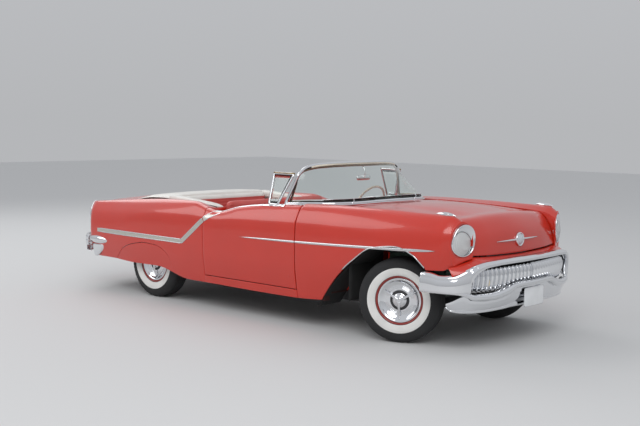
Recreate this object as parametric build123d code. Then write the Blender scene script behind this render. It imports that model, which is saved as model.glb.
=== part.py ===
"""A two-door convertible of the late 1950s: body panels, chassis, running gear, cabin and bright work.

Millimetres. +X is forward, +Y is the car's left, +Z is up. The origin is on the ground below the
middle of the car's length. The front wheels stand turned to the left.
"""
from build123d import *
from math import copysign, cos, hypot, radians, sin, sqrt
import os

# Driving dimensions
LENGTH = 5288
WHEELBASE = 3099
FRONT_OVERHANG = 870
FRONT_X = LENGTH / 2 - FRONT_OVERHANG
REAR_X = FRONT_X - WHEELBASE
FRONT_TRACK = 1499
BODY_HALF = 970
TYRE_HALF = 102
SKIRT_ROOM = 131.5
REAR_TRACK = 2 * (BODY_HALF - SKIRT_ROOM - TYRE_HALF)
TYRE_R = 355
RIM_R = 178
STEER_REST = 21
KINGPIN_INSET = 60
SKIN = 18
GAP = 8
RUNNING = 0.05

# Seams between the body's panels
DOOR_FRONT = 764
DOOR_REAR = -436
DOOR_BOTTOM = 337
DOOR_INNER_Y = 855
HOOD_REAR = 1240
HOOD_HALF = 655
QUARTER_INNER = 720
LID_FRONT = -1800
LID_HALF = 700
TAIL_X = -2350
NOSE_X = 2430
FIREWALL_X = 1198
FIREWALL_HALF = 600
APRON_IN = 668
APRON_OUT = 680

# Floor, tunnel and rockers
FLOOR_Z = 324
FLOOR_T = 12
REAR_FLOOR_Z = 566
FLOOR_FRONT = 1180
SEAT_STEP_X = -760
TUNNEL_HALF = 140
TUNNEL_TOP = 470
ROCKER_IN = 820
ROCKER_OUT = 904
HOUSE_R = 420

# Hinge pins: x and z of the hood's and the lid's side pins, x and y of a door's upright pins
HOOD_PIN = (1300, 1073)
LID_PIN = (-1880, 944)
DOOR_PIN = (690, 945)
DOOR_HINGE_Z = (470, 860)
PIN_R = 6

# Lamps: middle of a headlamp and its radii, how far its bezel stands out, and y, z, radius of a tail lamp
LAMP_X = 2340
LAMP_Y = 757
LAMP_Z = 869
LAMP_R = 97
LAMP_NECK_R = 80
BEZEL_OUT = 12
TAIL_LAMP = (776, 796, 52)

# Front bumper and grille: the radius of the bumper's plan over its middle, and the share of its width that
# its inner face keeps
NOSE = LENGTH / 2
BUMPER_R = 2112
BUMPER_INNER = 0.94
BAR_R = 23
GRILLE_Z = 474
RIBS = 13
RIB_PITCH = 54
RIB_R = 12

# The plate, its half width and half height, and its four holes
PLATE_X = NOSE - 34
PLATE_Z = 396
PLATE_HALF = (152, 76)
PLATE_HOLES_Y = 177.8
PLATE_HOLES_Z = 120.65
PLATE_HOLE_R = 3.5

# A rear bumper end: its bullet's rear x, front x, y and z
POD = (-2310, -1902, 905, 530)
POD_R = 54

# Windshield, vent windows, cabin
FRAME_HALF = 11
FRAME_FOOT = -0.12
VENT_BOTTOM_Z = 1066
VENT_TOP_Z = 1350
WHEEL_CENTRE = (513, 380, 995)
COLUMN_SLOPE = 25
COLUMN_R = 26
STEERING_R = 215
BOOT_HALF = QUARTER_INNER - 0.3
SEAT_ROUND = 38

# Running gear: a tyre's bead (radius, outward), its tread, the wheels' shafts and the kingpins
BEAD = (RIM_R + 12, 62)
TREAD_HALF = 62
DRUM_R = 90
SPINDLE_R = 20
KINGPIN_R = 14
ARM_LOW = 245
ARM_HIGH = 465
PIPE_R = 25
TAIL_PIPE_Y = -433

# Columns: x, sill z y, waist z y, shoulder z y, crest z y, inner edge z y
FLANK = [
    (2430, 742, 830, 869, 868, 985, 842, 1040, 765, 990, 665),
    (2300, 716, 872, 850, 905, 1000, 872, 1086, 782, 1040, 665),
    (2000, 668, 915, 780, 942, 1000, 905, 1092, 802, 1062, 665),
    (1600, 300, 900, 720, 958, 985, 926, 1096, 822, 1078, 665),
    (1200, 284, 905, 680, 964, 975, 936, 1094, 836, 1085, 665),
    (764, 258, 910, 660, 967, 965, 941, 1082, 850, 1078, 665),
    (382, 255, 914, 660, 969, 950, 943, 1060, 862, 1056, 800),
    (-9, 257, 916, 660, 970, 930, 946, 1013, 880, 1008, 800),
    (-295, 260, 917, 660, 970, 900, 950, 951, 895, 946, 800),
    (-436, 260, 917, 660, 970, 910, 948, 978, 886, 962, QUARTER_INNER),
    (-667, 260, 916, 660, 968, 935, 938, 1028, 855, 985, QUARTER_INNER),
    (-1158, 345, 915, 660, 965, 925, 932, 1015, 832, 990, QUARTER_INNER),
    (-1557, 340, 908, 655, 958, 900, 922, 988, 826, 975, QUARTER_INNER),
    (-1891, 352, 895, 650, 945, 875, 905, 960, 820, 950, QUARTER_INNER),
    (-2250, 350, 872, 640, 926, 855, 886, 926, 815, 905, QUARTER_INNER),
    (TAIL_X, 352, 805, 640, 852, 850, 826, 912, 780, 892, QUARTER_INNER),
]
BULGES = (6, 7, 22, 4)

os.makedirs("parts", exist_ok=True)


def save(name, shape):
    """Write one piece as the node called name."""
    export_step(shape, f"parts/{name}.step")


def mirrored(shape):
    """The same piece on the other side of the car."""
    return mirror(shape, Plane.XZ)


def block(x0, x1, y0, y1, z0, z1):
    """A box between two corners."""
    middle = ((x0 + x1) / 2, (y0 + y1) / 2, (z0 + z1) / 2)
    return Pos(*middle) * Box(abs(x1 - x0), abs(y1 - y0), abs(z1 - z0))


def rod(start, end, radius):
    """A round bar between two points."""
    axis = Vector(*end) - Vector(*start)
    return Solid.make_cylinder(radius, axis.length, Plane(Vector(*start), z_dir=axis))


def bar(start, end, wide, high):
    """A rectangular bar between two points, wide across and high in section."""
    a = Vector(*start)
    axis = Vector(*end) - a
    side = Vector(0, 0, 1).cross(axis)
    plane = Plane(a, x_dir=side, z_dir=axis)
    return extrude(plane * Rectangle(wide, high), axis.length)


def across(face, low_y, high_y):
    """A face drawn in x and z, extruded across the car from low_y to high_y."""
    placed = Plane((0, low_y, 0), x_dir=(1, 0, 0), z_dir=(0, -1, 0)) * face
    return extrude(placed, high_y - low_y, dir=(0, 1, 0))


def along(face, rear_x, front_x):
    """A face drawn in y and z, extruded along the car from rear_x to front_x."""
    placed = Plane((rear_x, 0, 0), x_dir=(0, 1, 0), z_dir=(1, 0, 0)) * face
    return extrude(placed, front_x - rear_x, dir=(1, 0, 0))


def level(face, low_z, high_z):
    """A face drawn in x and y, extruded upward from low_z to high_z."""
    return extrude(Pos(0, 0, low_z) * face, high_z - low_z, dir=(0, 0, 1))


def fused(pieces):
    """One solid from pieces that meet."""
    whole = pieces[0]
    for piece in pieces[1:]:
        whole = whole + piece
    return whole


def largest(shape):
    """The largest solid of a shape."""
    return max(shape.solids(), key=lambda solid: solid.volume)


def arc(plane_x, a, b, bulge):
    """An arc from a to b, points (y, z) at station plane_x, bulging outward from the car by bulge."""
    length = hypot(b[0] - a[0], b[1] - a[1])
    out_y = (b[1] - a[1]) / length
    out_z = -(b[0] - a[0]) / length
    middle = ((a[0] + b[0]) / 2 + out_y * bulge, (a[1] + b[1]) / 2 + out_z * bulge)
    points = [Vector(plane_x, *p) for p in (a, middle, b)]
    return Edge.make_three_point_arc(*points)


def row_at(x):
    """The flank's row at station x, worked out between the rows of the table."""
    for near, far in zip(FLANK, FLANK[1:]):
        if near[0] >= x >= far[0]:
            share = (near[0] - x) / (near[0] - far[0])
            return tuple(n + (f - n) * share for n, f in zip(near, far))
    raise ValueError(x)


def rows_between(front, rear):
    """The rows of the flank from one seam to the next."""
    inside = [row for row in FLANK if front - 40 > row[0] > rear + 40]
    return [row_at(front)] + inside + [row_at(rear)]


def outline(row, bottom=None, inset=0):
    """The outer points (y, z) of a row from the sill to the inner edge, cut off below bottom."""
    x, sz, sy, wz, wy, hz, hy, cz, cy, ez, ey = row
    sy, wy, hy, cz = sy - inset, wy - inset, hy - inset, cz - inset
    if bottom is not None and bottom > sz:
        share = (bottom - sz) / (wz - sz)
        sy, sz = sy + (wy - sy) * share, bottom
    return [(sy, sz), (wy, wz), (hy, hz), (cy, cz), (ey, ez)]


def skin_wire(row, thick=SKIN, bottom=None):
    """A C-shaped section: the outer points, and the same points moved in by the skin's thickness."""
    x = row[0]
    outer = outline(row, bottom)
    steps = [(-thick, 0), (-thick, 0), (-thick, -thick / 2), (-thick / 3, -thick), (0, -thick)]
    inner = [(y + dy, z + dz) for (y, z), (dy, dz) in zip(outer, steps)]
    edges = [arc(x, a, b, h) for a, b, h in zip(outer, outer[1:], BULGES)]
    edges.append(Edge.make_line((x, *outer[-1]), (x, *inner[-1])))
    back = [arc(x, a, b, h) for a, b, h in zip(inner, inner[1:], BULGES)]
    edges.extend(reversed(back))
    edges.append(Edge.make_line((x, *inner[0]), (x, *outer[0])))
    return Wire(edges)


def solid_wire(row, inner_y, bottom=None, inset=0):
    """A closed section from the outer points to a plain inner face at inner_y."""
    x = row[0]
    outer = outline(row, bottom, inset)
    crest_y, crest_z = outer[3]
    outer[4] = (inner_y, crest_z - 6 - inset * 5)
    if crest_y - inner_y < 12:
        outer[3] = (inner_y + 12, crest_z)
    edges = [arc(x, a, b, h) for a, b, h in zip(outer, outer[1:], BULGES)]
    foot = (inner_y, outer[0][1])
    edges.append(Edge.make_line((x, *outer[-1]), (x, *foot)))
    edges.append(Edge.make_line((x, *foot), (x, *outer[0])))
    return Wire(edges)


def skin(front, rear, bottom=None):
    """A panel of the flank as a shell between two seams."""
    return Solid.make_loft([skin_wire(row, bottom=bottom) for row in rows_between(front, rear)], True)


def profile_loft(rows, shape_wire):
    """A panel lofted across the car, from profiles at the rows' own y."""
    return Solid.make_loft([shape_wire(*row) for row in rows], True)


# Chassis frame: rail points x, y, z of the left side, front to rear
RAIL = [
    (FRONT_X + 556, 400, 400), (FRONT_X + 176, 400, 300), (FRONT_X - 324, 400, 300), (FRONT_X - 624, 560, 280),
    (REAR_X + 515, 560, 280), (REAR_X + 275, 540, 430), (REAR_X - 125, 520, 520), (REAR_X - 475, 520, 470),
    (REAR_X - 1005, 520, 470),
]
RAIL_WIDE = 64
RAIL_HIGH = 84


def frame_rail(side):
    """One rail of the frame, as bars from point to point with a round knee at each."""
    points = [(x, y * side, z) for x, y, z in RAIL]
    pieces = [bar(a, b, RAIL_WIDE, RAIL_HIGH) for a, b in zip(points, points[1:])]
    knees = [Pos(*p) * Cylinder(RAIL_WIDE / 2, RAIL_HIGH) for p in points[1:-1]]
    return fused(pieces + knees)


# Columns: x, rail half spacing, z, width along x
CROSSMEMBERS = [
    (FRONT_X + 526, 400, 400, 70), (FRONT_X, 400, 300, 130), (400, 560, 280, 90), (REAR_X + 635, 560, 280, 80),
    (REAR_X - 975, 520, 470, 70),
]


def frame():
    """The ladder frame: two rails and the members across."""
    pieces = [frame_rail(1), frame_rail(-1)]
    for x, half, z, wide in CROSSMEMBERS:
        pieces.append(block(x - wide / 2, x + wide / 2, -half, half, z - 30, z + 30))
    return fused(pieces)


def floor_pan():
    """The cabin floor with its tunnel, the rockers below the doors, and the raised floor behind."""
    t = FLOOR_T
    front = block(SEAT_STEP_X, FLOOR_FRONT, -ROCKER_IN, ROCKER_IN, FLOOR_Z, FLOOR_Z + t)
    front -= block(SEAT_STEP_X - 1, FLOOR_FRONT + 1, -TUNNEL_HALF + t, TUNNEL_HALF - t, 0, 1000)
    front -= block(1090, FLOOR_FRONT + 1, 590, 1000, 0, 1000)
    front -= block(1090, FLOOR_FRONT + 1, -1000, -590, 0, 1000)
    arch = Rectangle(2 * TUNNEL_HALF, TUNNEL_TOP - FLOOR_Z)
    arch = fillet(arch.vertices().group_by(Axis.Y)[-1], 60)
    hole = Pos(0, -t) * offset(arch, -t)
    hole = hole + Pos(0, -TUNNEL_HALF) * Rectangle(2 * (TUNNEL_HALF - t), 2 * TUNNEL_HALF)
    middle = Plane((SEAT_STEP_X, 0, (TUNNEL_TOP + FLOOR_Z) / 2), x_dir=(0, 1, 0), z_dir=(1, 0, 0))
    tunnel = extrude(middle * (arch - hole), FLOOR_FRONT - SEAT_STEP_X)
    step = block(SEAT_STEP_X, SEAT_STEP_X + t, -ROCKER_IN, ROCKER_IN, FLOOR_Z, REAR_FLOOR_Z)
    step -= block(SEAT_STEP_X - 1, SEAT_STEP_X + t + 1, -TUNNEL_HALF + t, TUNNEL_HALF - t, 0, TUNNEL_TOP - t)
    rear = block(-2380, SEAT_STEP_X + t, -600, 600, REAR_FLOOR_Z, REAR_FLOOR_Z + t)
    tail = block(TAIL_X + 50, REAR_X - 430, -850, 850, REAR_FLOOR_Z, REAR_FLOOR_Z + t)
    pieces = [front, tunnel, step, rear, tail]
    for side in (1, -1):
        wall = block(DOOR_REAR - 300, DOOR_FRONT + 300, side * ROCKER_IN, side * 885, 262, DOOR_BOTTOM - GAP)
        lip = block(DOOR_REAR + GAP, DOOR_FRONT - GAP, side * 885, side * ROCKER_OUT, 262, DOOR_BOTTOM - GAP)
        pieces.extend([wall, lip])
        house = Cylinder(HOUSE_R, 300) - Cylinder(HOUSE_R - t, 301)
        house = Pos(REAR_X, side * 740, TYRE_R) * Rot(90, 0, 0) * house
        house -= block(REAR_X - 500, REAR_X + 500, side * 500, side * 1000, -200, REAR_FLOOR_Z)
        inner = Pos(REAR_X, side * 595, TYRE_R) * Rot(90, 0, 0) * Cylinder(HOUSE_R, t)
        inner -= block(REAR_X - 500, REAR_X + 500, side * 500, side * 1000, -200, REAR_FLOOR_Z)
        pieces.extend([house, inner])
    return fused(pieces)


def cowl():
    """The firewall, the panel below the windshield, and the posts that the doors shut against."""
    t = SKIN
    half = FIREWALL_HALF
    wall = block(FIREWALL_X - t, FIREWALL_X, -half, half, 330, 1060)
    wall -= block(1170, 1210, -170, 170, 300, 640)
    rows = [(-655, 1072), (-400, 1090), (0, 1098), (400, 1090), (655, 1072)]

    def strip(y, z):
        corners = [(HOOD_REAR - GAP, y, z), (700, y, z), (700, y, z - t), (HOOD_REAR - GAP, y, z - t)]
        return Wire.make_polygon([Vector(*c) for c in corners], close=True)

    top = profile_loft(rows, strip)
    pieces = [wall, top, block(FIREWALL_X - t, FIREWALL_X, -half, half, 1040, 1085)]
    for side in (1, -1):
        pieces.append(block(FIREWALL_X - t, FIREWALL_X, side * half, side * APRON_OUT, 700, 1040))
        pieces.append(block(600, FIREWALL_X, side * half, side * (half + t), 336, 1076))
        pieces.append(block(600, 1000, side * half, side * ROCKER_IN, 336, 336 + t))
        pieces.append(block(600, 740, side * 780, side * ROCKER_IN, 336, 1050))
        pieces.append(block(490, 740, side * 780, side * ROCKER_IN, 900, 1050))
        pieces.append(block(600, 740, side * half, side * ROCKER_IN, 1030, 1050))
        x, y = DOOR_PIN
        for z in DOOR_HINGE_Z:
            pieces.append(block(x - 10, x + 10, side * 810, side * y, z - 10, z + 10))
            pieces.append(rod((x, side * y, z - 32), (x, side * y, z + 32), PIN_R))
    return fused(pieces) - column_space() - windshield_foot()


# The wheel opening in a front fender: points (x, z) from its rear foot over the top to its front foot
ARCH = [(FRONT_X + dx, z) for dx, z in (
    (-714, 200), (-548, 445), (-352, 629), (-151, 775), (98, 812), (251, 750), (331, 640), (336, 200))]

# Plan of the left fender's front edge, which is swept back toward the side
FENDER_EDGE = [(2432, 650), (2345, 892)]


def ahead_of_fender(forward=0):
    """The space ahead of the left fender's front edge, moved forward."""
    (inner_x, inner_y), (outer_x, outer_y) = FENDER_EDGE
    face = Polygon((inner_x + forward, inner_y), (outer_x + forward, outer_y), (2600, outer_y), (2600, inner_y),
                   align=None)
    return level(face, 600, 1200)


def fender():
    """The left front fender: a shell with its wheel opening, an apron and a bulkhead that carries the lamp."""
    shell = skin(NOSE_X, DOOR_FRONT + GAP)
    shell -= across(make_face([Spline(*ARCH[1:-1]), Polyline(ARCH[-2], ARCH[-1], ARCH[0], ARCH[1])]), 700, 1200)
    shell -= ahead_of_fender()
    shell -= rod((LAMP_X, LAMP_Y, LAMP_Z), (NOSE_X + 10, LAMP_Y, LAMP_Z), LAMP_R + 2)
    rear, ahead = row_at(LAMP_X - 20), row_at(LAMP_X)
    cap = Solid.make_loft([solid_wire(rear, 675, 750, 9), solid_wire(ahead, 675, 750, 9)], True)
    cap -= rod((LAMP_X - 60, LAMP_Y, LAMP_Z), (LAMP_X, LAMP_Y, LAMP_Z), LAMP_NECK_R)
    apron = block(FIREWALL_X, LAMP_X - 55, APRON_IN, APRON_OUT, 770, 1028)
    apron += block(LAMP_X - 56, LAMP_X - 10, APRON_IN, APRON_OUT, LAMP_Z + LAMP_NECK_R + 6, 1028)
    pin = rod((HOOD_PIN[0], HOOD_HALF - 15, HOOD_PIN[1]), (HOOD_PIN[0], APRON_OUT, HOOD_PIN[1]), PIN_R)
    web = block(1220, 1380, APRON_IN, APRON_OUT, 1000, HOOD_PIN[1] - 10)
    plinth = block(DOOR_FRONT + GAP, 960, APRON_IN, 836, 1028, 1072)
    return fused([shell, cap, apron, web, pin, plinth]) - windshield_foot()


def turned(outline_points, dome_top, x, y, z):
    """A round piece about an axis along the car: straight edges, then a ball's cap from the last point."""
    (start_x, start_r), (top_x, _) = outline_points[-1], dome_top
    height = abs(top_x - start_x)
    ball_r = (start_r ** 2 + height ** 2) / (2 * height)
    drop = ball_r - sqrt(ball_r ** 2 - start_r ** 2 / 4)
    middle = (top_x - copysign(drop, top_x - start_x), start_r / 2)
    edges = [Polyline(*outline_points), ThreePointArc(outline_points[-1], middle, dome_top)]
    edges.append(Line(dome_top, outline_points[0]))
    return Pos(x, y, z) * revolve(make_face(edges), Axis.X)


def lamp():
    """The left headlamp: a bowl, a round ring, a domed lens and a deep bezel that follows the fender's edge."""
    x, y, z = LAMP_X, LAMP_Y, LAMP_Z
    seat_r, lens_r = LAMP_R, LAMP_R - 14
    profile = [(-50, 0), (-50, LAMP_NECK_R), (0, LAMP_NECK_R), (0, seat_r), (26, seat_r), (26, lens_r), (14, lens_r)]
    body = turned(profile, (40, 0), x, y, z)
    tube = rod((x + 20, y, z), (x + 200, y, z), LAMP_R) - rod((x + 19, y, z), (x + 201, y, z), LAMP_R - 9)
    return body + (tube - ahead_of_fender(BEZEL_OUT))


def headlamps():
    """The two headlamps."""
    left = lamp()
    return Compound([left, mirrored(left)])


def nose_ornament():
    """The plain dome on the hood's nose, with a thin wing to each side."""
    dome = turned([(0, 0), (0, 60), (18, 60), (26, 52)], (46, 0), 2442, 0, 858)
    front = ThreePointArc((2454, 330), (2472, 0), (2454, -330))
    back = ThreePointArc((2432, 330), (2444, 0), (2432, -330))
    ends = [Line((2454, y), (2432, y)) for y in (330, -330)]
    return largest(dome + level(make_face([front, back] + ends), 850, 866) - hood())


# Columns: y, rear z, middle z, shoulder x z, lip x z
HOOD_ROWS = [
    (-655, 1082, 1060, 2290, 1030, 2415, 770),
    (-400, 1097, 1090, 2320, 1048, 2445, 758),
    (-150, 1104, 1102, 2335, 1056, 2460, 752),
    (150, 1104, 1102, 2335, 1056, 2460, 752),
    (400, 1097, 1090, 2320, 1048, 2445, 758),
    (655, 1082, 1060, 2290, 1030, 2415, 770),
]


def hood_wire(y, rear_z, middle_z, shoulder_x, shoulder_z, lip_x, lip_z):
    """The hood's profile at y: a long top, a round shoulder and a steep nose, one skin thick."""
    t = SKIN
    top = [(HOOD_REAR, rear_z), ((HOOD_REAR + shoulder_x) / 2, middle_z + 8), (shoulder_x, shoulder_z)]
    nose = [(shoulder_x, shoulder_z), (lip_x - 22, (shoulder_z + lip_z) / 2 + 40), (lip_x, lip_z)]

    def curve(points, dx, dz):
        return Edge.make_three_point_arc(*[Vector(x + dx, y, z + dz) for x, z in points])

    edges = [curve(top, 0, 0), curve(nose, 0, 0)]
    edges.append(Edge.make_line((lip_x, y, lip_z), (lip_x - t, y, lip_z)))
    under_nose = [(shoulder_x - t / 2, shoulder_z - t), (lip_x - 22 - t, (shoulder_z + lip_z) / 2 + 30),
                  (lip_x - t, lip_z)]
    under_top = [(HOOD_REAR, rear_z - t), ((HOOD_REAR + shoulder_x) / 2, middle_z + 8 - t),
                 (shoulder_x - t / 2, shoulder_z - t)]
    edges.append(curve(under_nose, 0, 0))
    edges.append(curve(under_top, 0, 0))
    edges.append(Edge.make_line((HOOD_REAR, y, rear_z - t), (HOOD_REAR, y, rear_z)))
    return Wire(edges)


def pin_bores(shape, x, z, edge_y):
    """A panel with a bore in each side edge for its hinge pins."""
    for side in (1, -1):
        shape -= rod((x, side * (edge_y - 20), z), (x, side * (edge_y + 5), z), PIN_R + RUNNING)
    return shape


def hood():
    """The hood, which carries the nose between the headlamps."""
    return pin_bores(profile_loft(HOOD_ROWS, hood_wire), *HOOD_PIN, HOOD_HALF)


# Columns: y, front z, edge x z, foot x z
LID_ROWS = [
    (-700, 955, -2370, 905, -2420, 575),
    (-400, 985, -2410, 925, -2455, 565),
    (-150, 995, -2425, 935, -2470, 560),
    (150, 995, -2425, 935, -2470, 560),
    (400, 985, -2410, 925, -2455, 565),
    (700, 955, -2370, 905, -2420, 575),
]


def lid_wire(y, front_z, edge_x, edge_z, foot_x, foot_z):
    """The trunk lid's profile at y: the deck, a round rear edge and the drop to the tail."""
    t = SKIN
    deck = [(LID_FRONT, front_z), ((LID_FRONT + edge_x) / 2, (front_z + edge_z) / 2 + 10), (edge_x, edge_z)]
    drop = [(edge_x, edge_z), (edge_x - 42, (edge_z + foot_z) / 2 + 60), (foot_x, foot_z)]

    def curve(points):
        return Edge.make_three_point_arc(*[Vector(x, y, z) for x, z in points])

    edges = [curve(deck), curve(drop), Edge.make_line((foot_x, y, foot_z), (foot_x + t, y, foot_z))]
    edges.append(curve([(x + t, z - t / 2) if z != foot_z else (x + t, z) for x, z in drop]))
    edges.append(curve([(deck[0][0], deck[0][1] - t), (deck[1][0], deck[1][1] - t), (edge_x + t, edge_z - t / 2)]))
    edges.append(Edge.make_line((LID_FRONT, y, front_z - t), (LID_FRONT, y, front_z)))
    return Wire(edges)


def trunk_lid():
    """The lid over the luggage space."""
    return pin_bores(profile_loft(LID_ROWS, lid_wire), *LID_PIN, LID_HALF)


# Plan of the tail: points (x, y) of the outer face
TAIL_PLAN = [(-2378, 790), (-2410, 680), (-2438, 400), (-2448, 0)]


def mirrored_points(points):
    """An outline's points from its left end to the middle, and on to its right end."""
    return points + [(x, -y) for x, y in reversed(points[:-1])]


def tail_panel():
    """The panel below the lid, which closes the rear between the quarters."""
    outer = mirrored_points(TAIL_PLAN)
    inner = [(x + SKIN * 1.5, y * 0.97) for x, y in outer]
    low = level(Polygon(*outer, *reversed(inner), align=None), 352, 552)
    low += block(-2425, -2360, -690, 690, 500, 566)
    return low - Compound(bumper_arms(2))


def quarter():
    """The left rear quarter: a shell with the opening that the skirt fills."""
    shell = skin(DOOR_REAR, TAIL_X)
    shell -= across(Polygon(*SKIRT_EDGE, align=None), 700, 1200)
    pin_low = (LID_PIN[0], LID_HALF - 16, LID_PIN[1])
    pin = rod(pin_low, (LID_PIN[0], 740, LID_PIN[1]), PIN_R)
    shelf = Polygon((-1800, 850), (-1800, 922), (-2240, 896), (-2240, 850), align=None)
    shelf = level(shelf, REAR_FLOOR_Z, REAR_FLOOR_Z + FLOOR_T)
    ahead, end = row_at(TAIL_X + SKIN), row_at(TAIL_X)
    wall = Solid.make_loft([solid_wire(ahead, 724, 380, 9), solid_wire(end, 724, 380, 9)], True)
    return fused([shell, pin, shelf, wall]) - pod(1) - rear_bar()


# The skirt's edge: points (x, z) round the rear wheel
SKIRT_EDGE = [(-1834, 250), (-1834, 362), (-1706, 476), (-1590, 524), (-1459, 553), (-1314, 571), (-1156, 563),
              (-1047, 522), (-978, 454), (-940, 377), (-915, 250)]
# Rubber stops (x, z) that hold the skirt in its opening
SKIRT_STOPS = [(-1770, 419), (-1314, 571), (-959, 415)]


def skirt():
    """The left fender skirt, which fills the lower part of the rear wheel opening."""
    shell = skin(-900, -1850)
    opening = Polygon(*SKIRT_EDGE, align=None)
    patch = offset(opening, -4)
    for x, z in SKIRT_STOPS:
        patch = patch + (opening & Pos(x, z) * Circle(16))
    return shell & across(patch, 700, 1200)


def door():
    """The left door, as thick as the whole door, with its top open for the glass that is down in it."""
    front = DOOR_FRONT
    wires = [solid_wire(row, DOOR_INNER_Y, DOOR_BOTTOM) for row in rows_between(front, DOOR_REAR + GAP)]
    whole = Solid.make_loft(wires, True)
    x, y = DOOR_PIN
    for z in DOOR_HINGE_Z:
        whole -= block(x - 18, front + 10, DOOR_INNER_Y - 10, y + 14, z - 17, z + 17)
        whole -= rod((x, y, z - 34), (x, y, z + 34), PIN_R + RUNNING)
    return whole


def vent_window():
    """The left vent window: a frame and its pane, standing on the door behind the windshield's post."""
    def slab(x_low, x_high, y_low, y_high, half, inset=0):
        wires = []
        for z, xs, y in ((VENT_BOTTOM_Z + inset, x_low, y_low), (VENT_TOP_Z - inset, x_high, y_high)):
            corners = [(xs[0] + inset, y - half, z), (xs[1] - inset, y - half, z),
                       (xs[1] - inset, y + half, z), (xs[0] + inset, y + half, z)]
            wires.append(Wire.make_polygon([Vector(*c) for c in corners], close=True))
        return Solid.make_loft(wires, True)

    outer = slab((362, 468), (344, 588), 872, 786, 8)
    window = slab((362, 468), (344, 588), 872, 786, 30, 16)
    pane = slab((362, 468), (344, 588), 872, 786, 2.5, 8)
    foot = block(362, 468, 864, 880, 1040, VENT_BOTTOM_Z + 4)
    return outer - window + pane + foot


# Windshield stations from the middle to the left post. Columns: base x y z, top x y z
WINDSHIELD = [
    (1150, 0, 1108, 724, 0, 1462),
    (1128, 280, 1105, 713, 240, 1461),
    (1050, 530, 1096, 676, 440, 1455),
    (900, 715, 1090, 636, 580, 1440),
    (700, 800, 1084, 614, 680, 1405),
    (520, 826, 1072, 606, 745, 1345),
]


def windshield_slab(half, low, high, ends=0.0):
    """A curved slab on the windshield's surface, half thick each way, between two heights' shares."""
    stations = [(x, -y, z, u, -v, w) for x, y, z, u, v, w in reversed(WINDSHIELD[1:])] + WINDSHIELD
    if ends:
        first = tuple(a + (b - a) * ends for a, b in zip(stations[0], stations[1]))
        last = tuple(a + (b - a) * ends for a, b in zip(stations[-1], stations[-2]))
        stations = [first] + stations[1:-1] + [last]
    wires = []
    for i, row in enumerate(stations):
        before = stations[max(i - 1, 0)]
        after = stations[min(i + 1, len(stations) - 1)]
        along = Vector(after[0] - before[0], after[1] - before[1], 0).normalized()
        out = Vector(along.Y, -along.X, 0) * half
        base = Vector(*row[:3])
        rise = Vector(*row[3:]) - base
        foot = base + rise * low
        head = base + rise * high
        wires.append(Wire.make_polygon([foot - out, foot + out, head + out, head - out], close=True))
    return Solid.make_loft(wires, True)


def windshield_foot():
    """The space that the frame's foot fills in the cowl and the fenders."""
    return windshield_slab(FRAME_HALF, FRAME_FOOT, 0.2)


def windshield_frame():
    """The bright frame round the windshield, with its foot let into the cowl."""
    frame = windshield_slab(FRAME_HALF, FRAME_FOOT, 1)
    return frame - windshield_slab(60, 0.06, 0.94, 0.12) - windshield_glass()


def windshield_glass():
    """The wrapped windshield glass."""
    return windshield_slab(3, 0.045, 0.955, 0.08)


def dashboard():
    """The dashboard below the windshield."""
    profile = Polygon((640, 800), (760, 790), (860, 900), (860, 1048), (650, 1048), (600, 1010), (600, 960),
                      align=None)
    profile = fillet([v for v in profile.vertices() if v.X < 655], 18)
    return across(profile, -580, 580) - column_space()


def along_column(distance):
    """The point on the steering shaft's axis that far ahead of the wheel's centre."""
    x, y, z = WHEEL_CENTRE
    slope = radians(COLUMN_SLOPE)
    return (x + distance * cos(slope), y, z - distance * sin(slope))


def steering_wheel():
    """The steering wheel with its shaft's end."""
    tilt = Plane(Vector(*WHEEL_CENTRE), x_dir=(0, 1, 0), z_dir=Vector(*along_column(1)) - Vector(*WHEEL_CENTRE))
    rim = tilt * Torus(STEERING_R, 11)
    hub = rod(along_column(-18), along_column(40), 38)
    shaft = rod(along_column(40), along_column(120), 15)
    spokes = []
    for angle in (0, 180):
        end = tilt * Rot(0, 0, angle) * Pos(STEERING_R, 0, 0)
        spokes.append(rod(along_column(8), tuple(end.position), 9))
    return fused([hub, shaft] + spokes + [rim])


def column_space():
    """The space that the steering column fills."""
    return rod(along_column(-60), along_column(800), COLUMN_R)


def steering_column():
    """The column's tube, from behind the wheel through the dashboard and the firewall."""
    tube = rod(along_column(48), along_column(800), COLUMN_R)
    return tube - rod(along_column(40), along_column(130), 15 + RUNNING)


def seat(rear_x, back_x, front_x, floor_z, cushion_z, top_z, half):
    """A bench seat: a cushion and a raked back, across the cabin."""
    points = [(front_x, floor_z), (front_x - 10, cushion_z), (back_x + 60, cushion_z - 20), (back_x, top_z),
              (rear_x, top_z - 8), (rear_x + 10, floor_z)]
    profile = Polygon(*points, align=None)
    tops = [v for v in profile.vertices() if v.Y > floor_z + 100 and abs(v.Y - cushion_z + 20) > 1]
    return across(fillet(tops, SEAT_ROUND), -half, half)


def front_seat():
    """The front bench."""
    bench = seat(-430, -340, 220, FLOOR_Z + FLOOR_T, 660, 1050, 700)
    return bench - block(-600, 400, -TUNNEL_HALF - 4, TUNNEL_HALF + 4, 300, TUNNEL_TOP + 4)


def rear_seat():
    """The rear bench."""
    return seat(-1180, -1100, -640, REAR_FLOOR_Z + FLOOR_T, 680, 1030, 580) - block(-760, -600, -600, 600, 300, 580)


def top_boot():
    """The cover over the folded top, with an arm along each side of the rear seat."""
    cover = [(-1768, 980), (-1500, 1075), (-1181, 1085), (-1181, 950), (-1765, 940)]
    profile = Polygon(*cover, align=None)
    profile = fillet([v for v in profile.vertices() if v.X < -1190 and v.Y > 960], 30)
    whole = across(profile, -BOOT_HALF, BOOT_HALF)
    for side in (1, -1):
        whole += block(-1200, -470, side * 600, side * BOOT_HALF, 950, 1030)
    return whole


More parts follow.
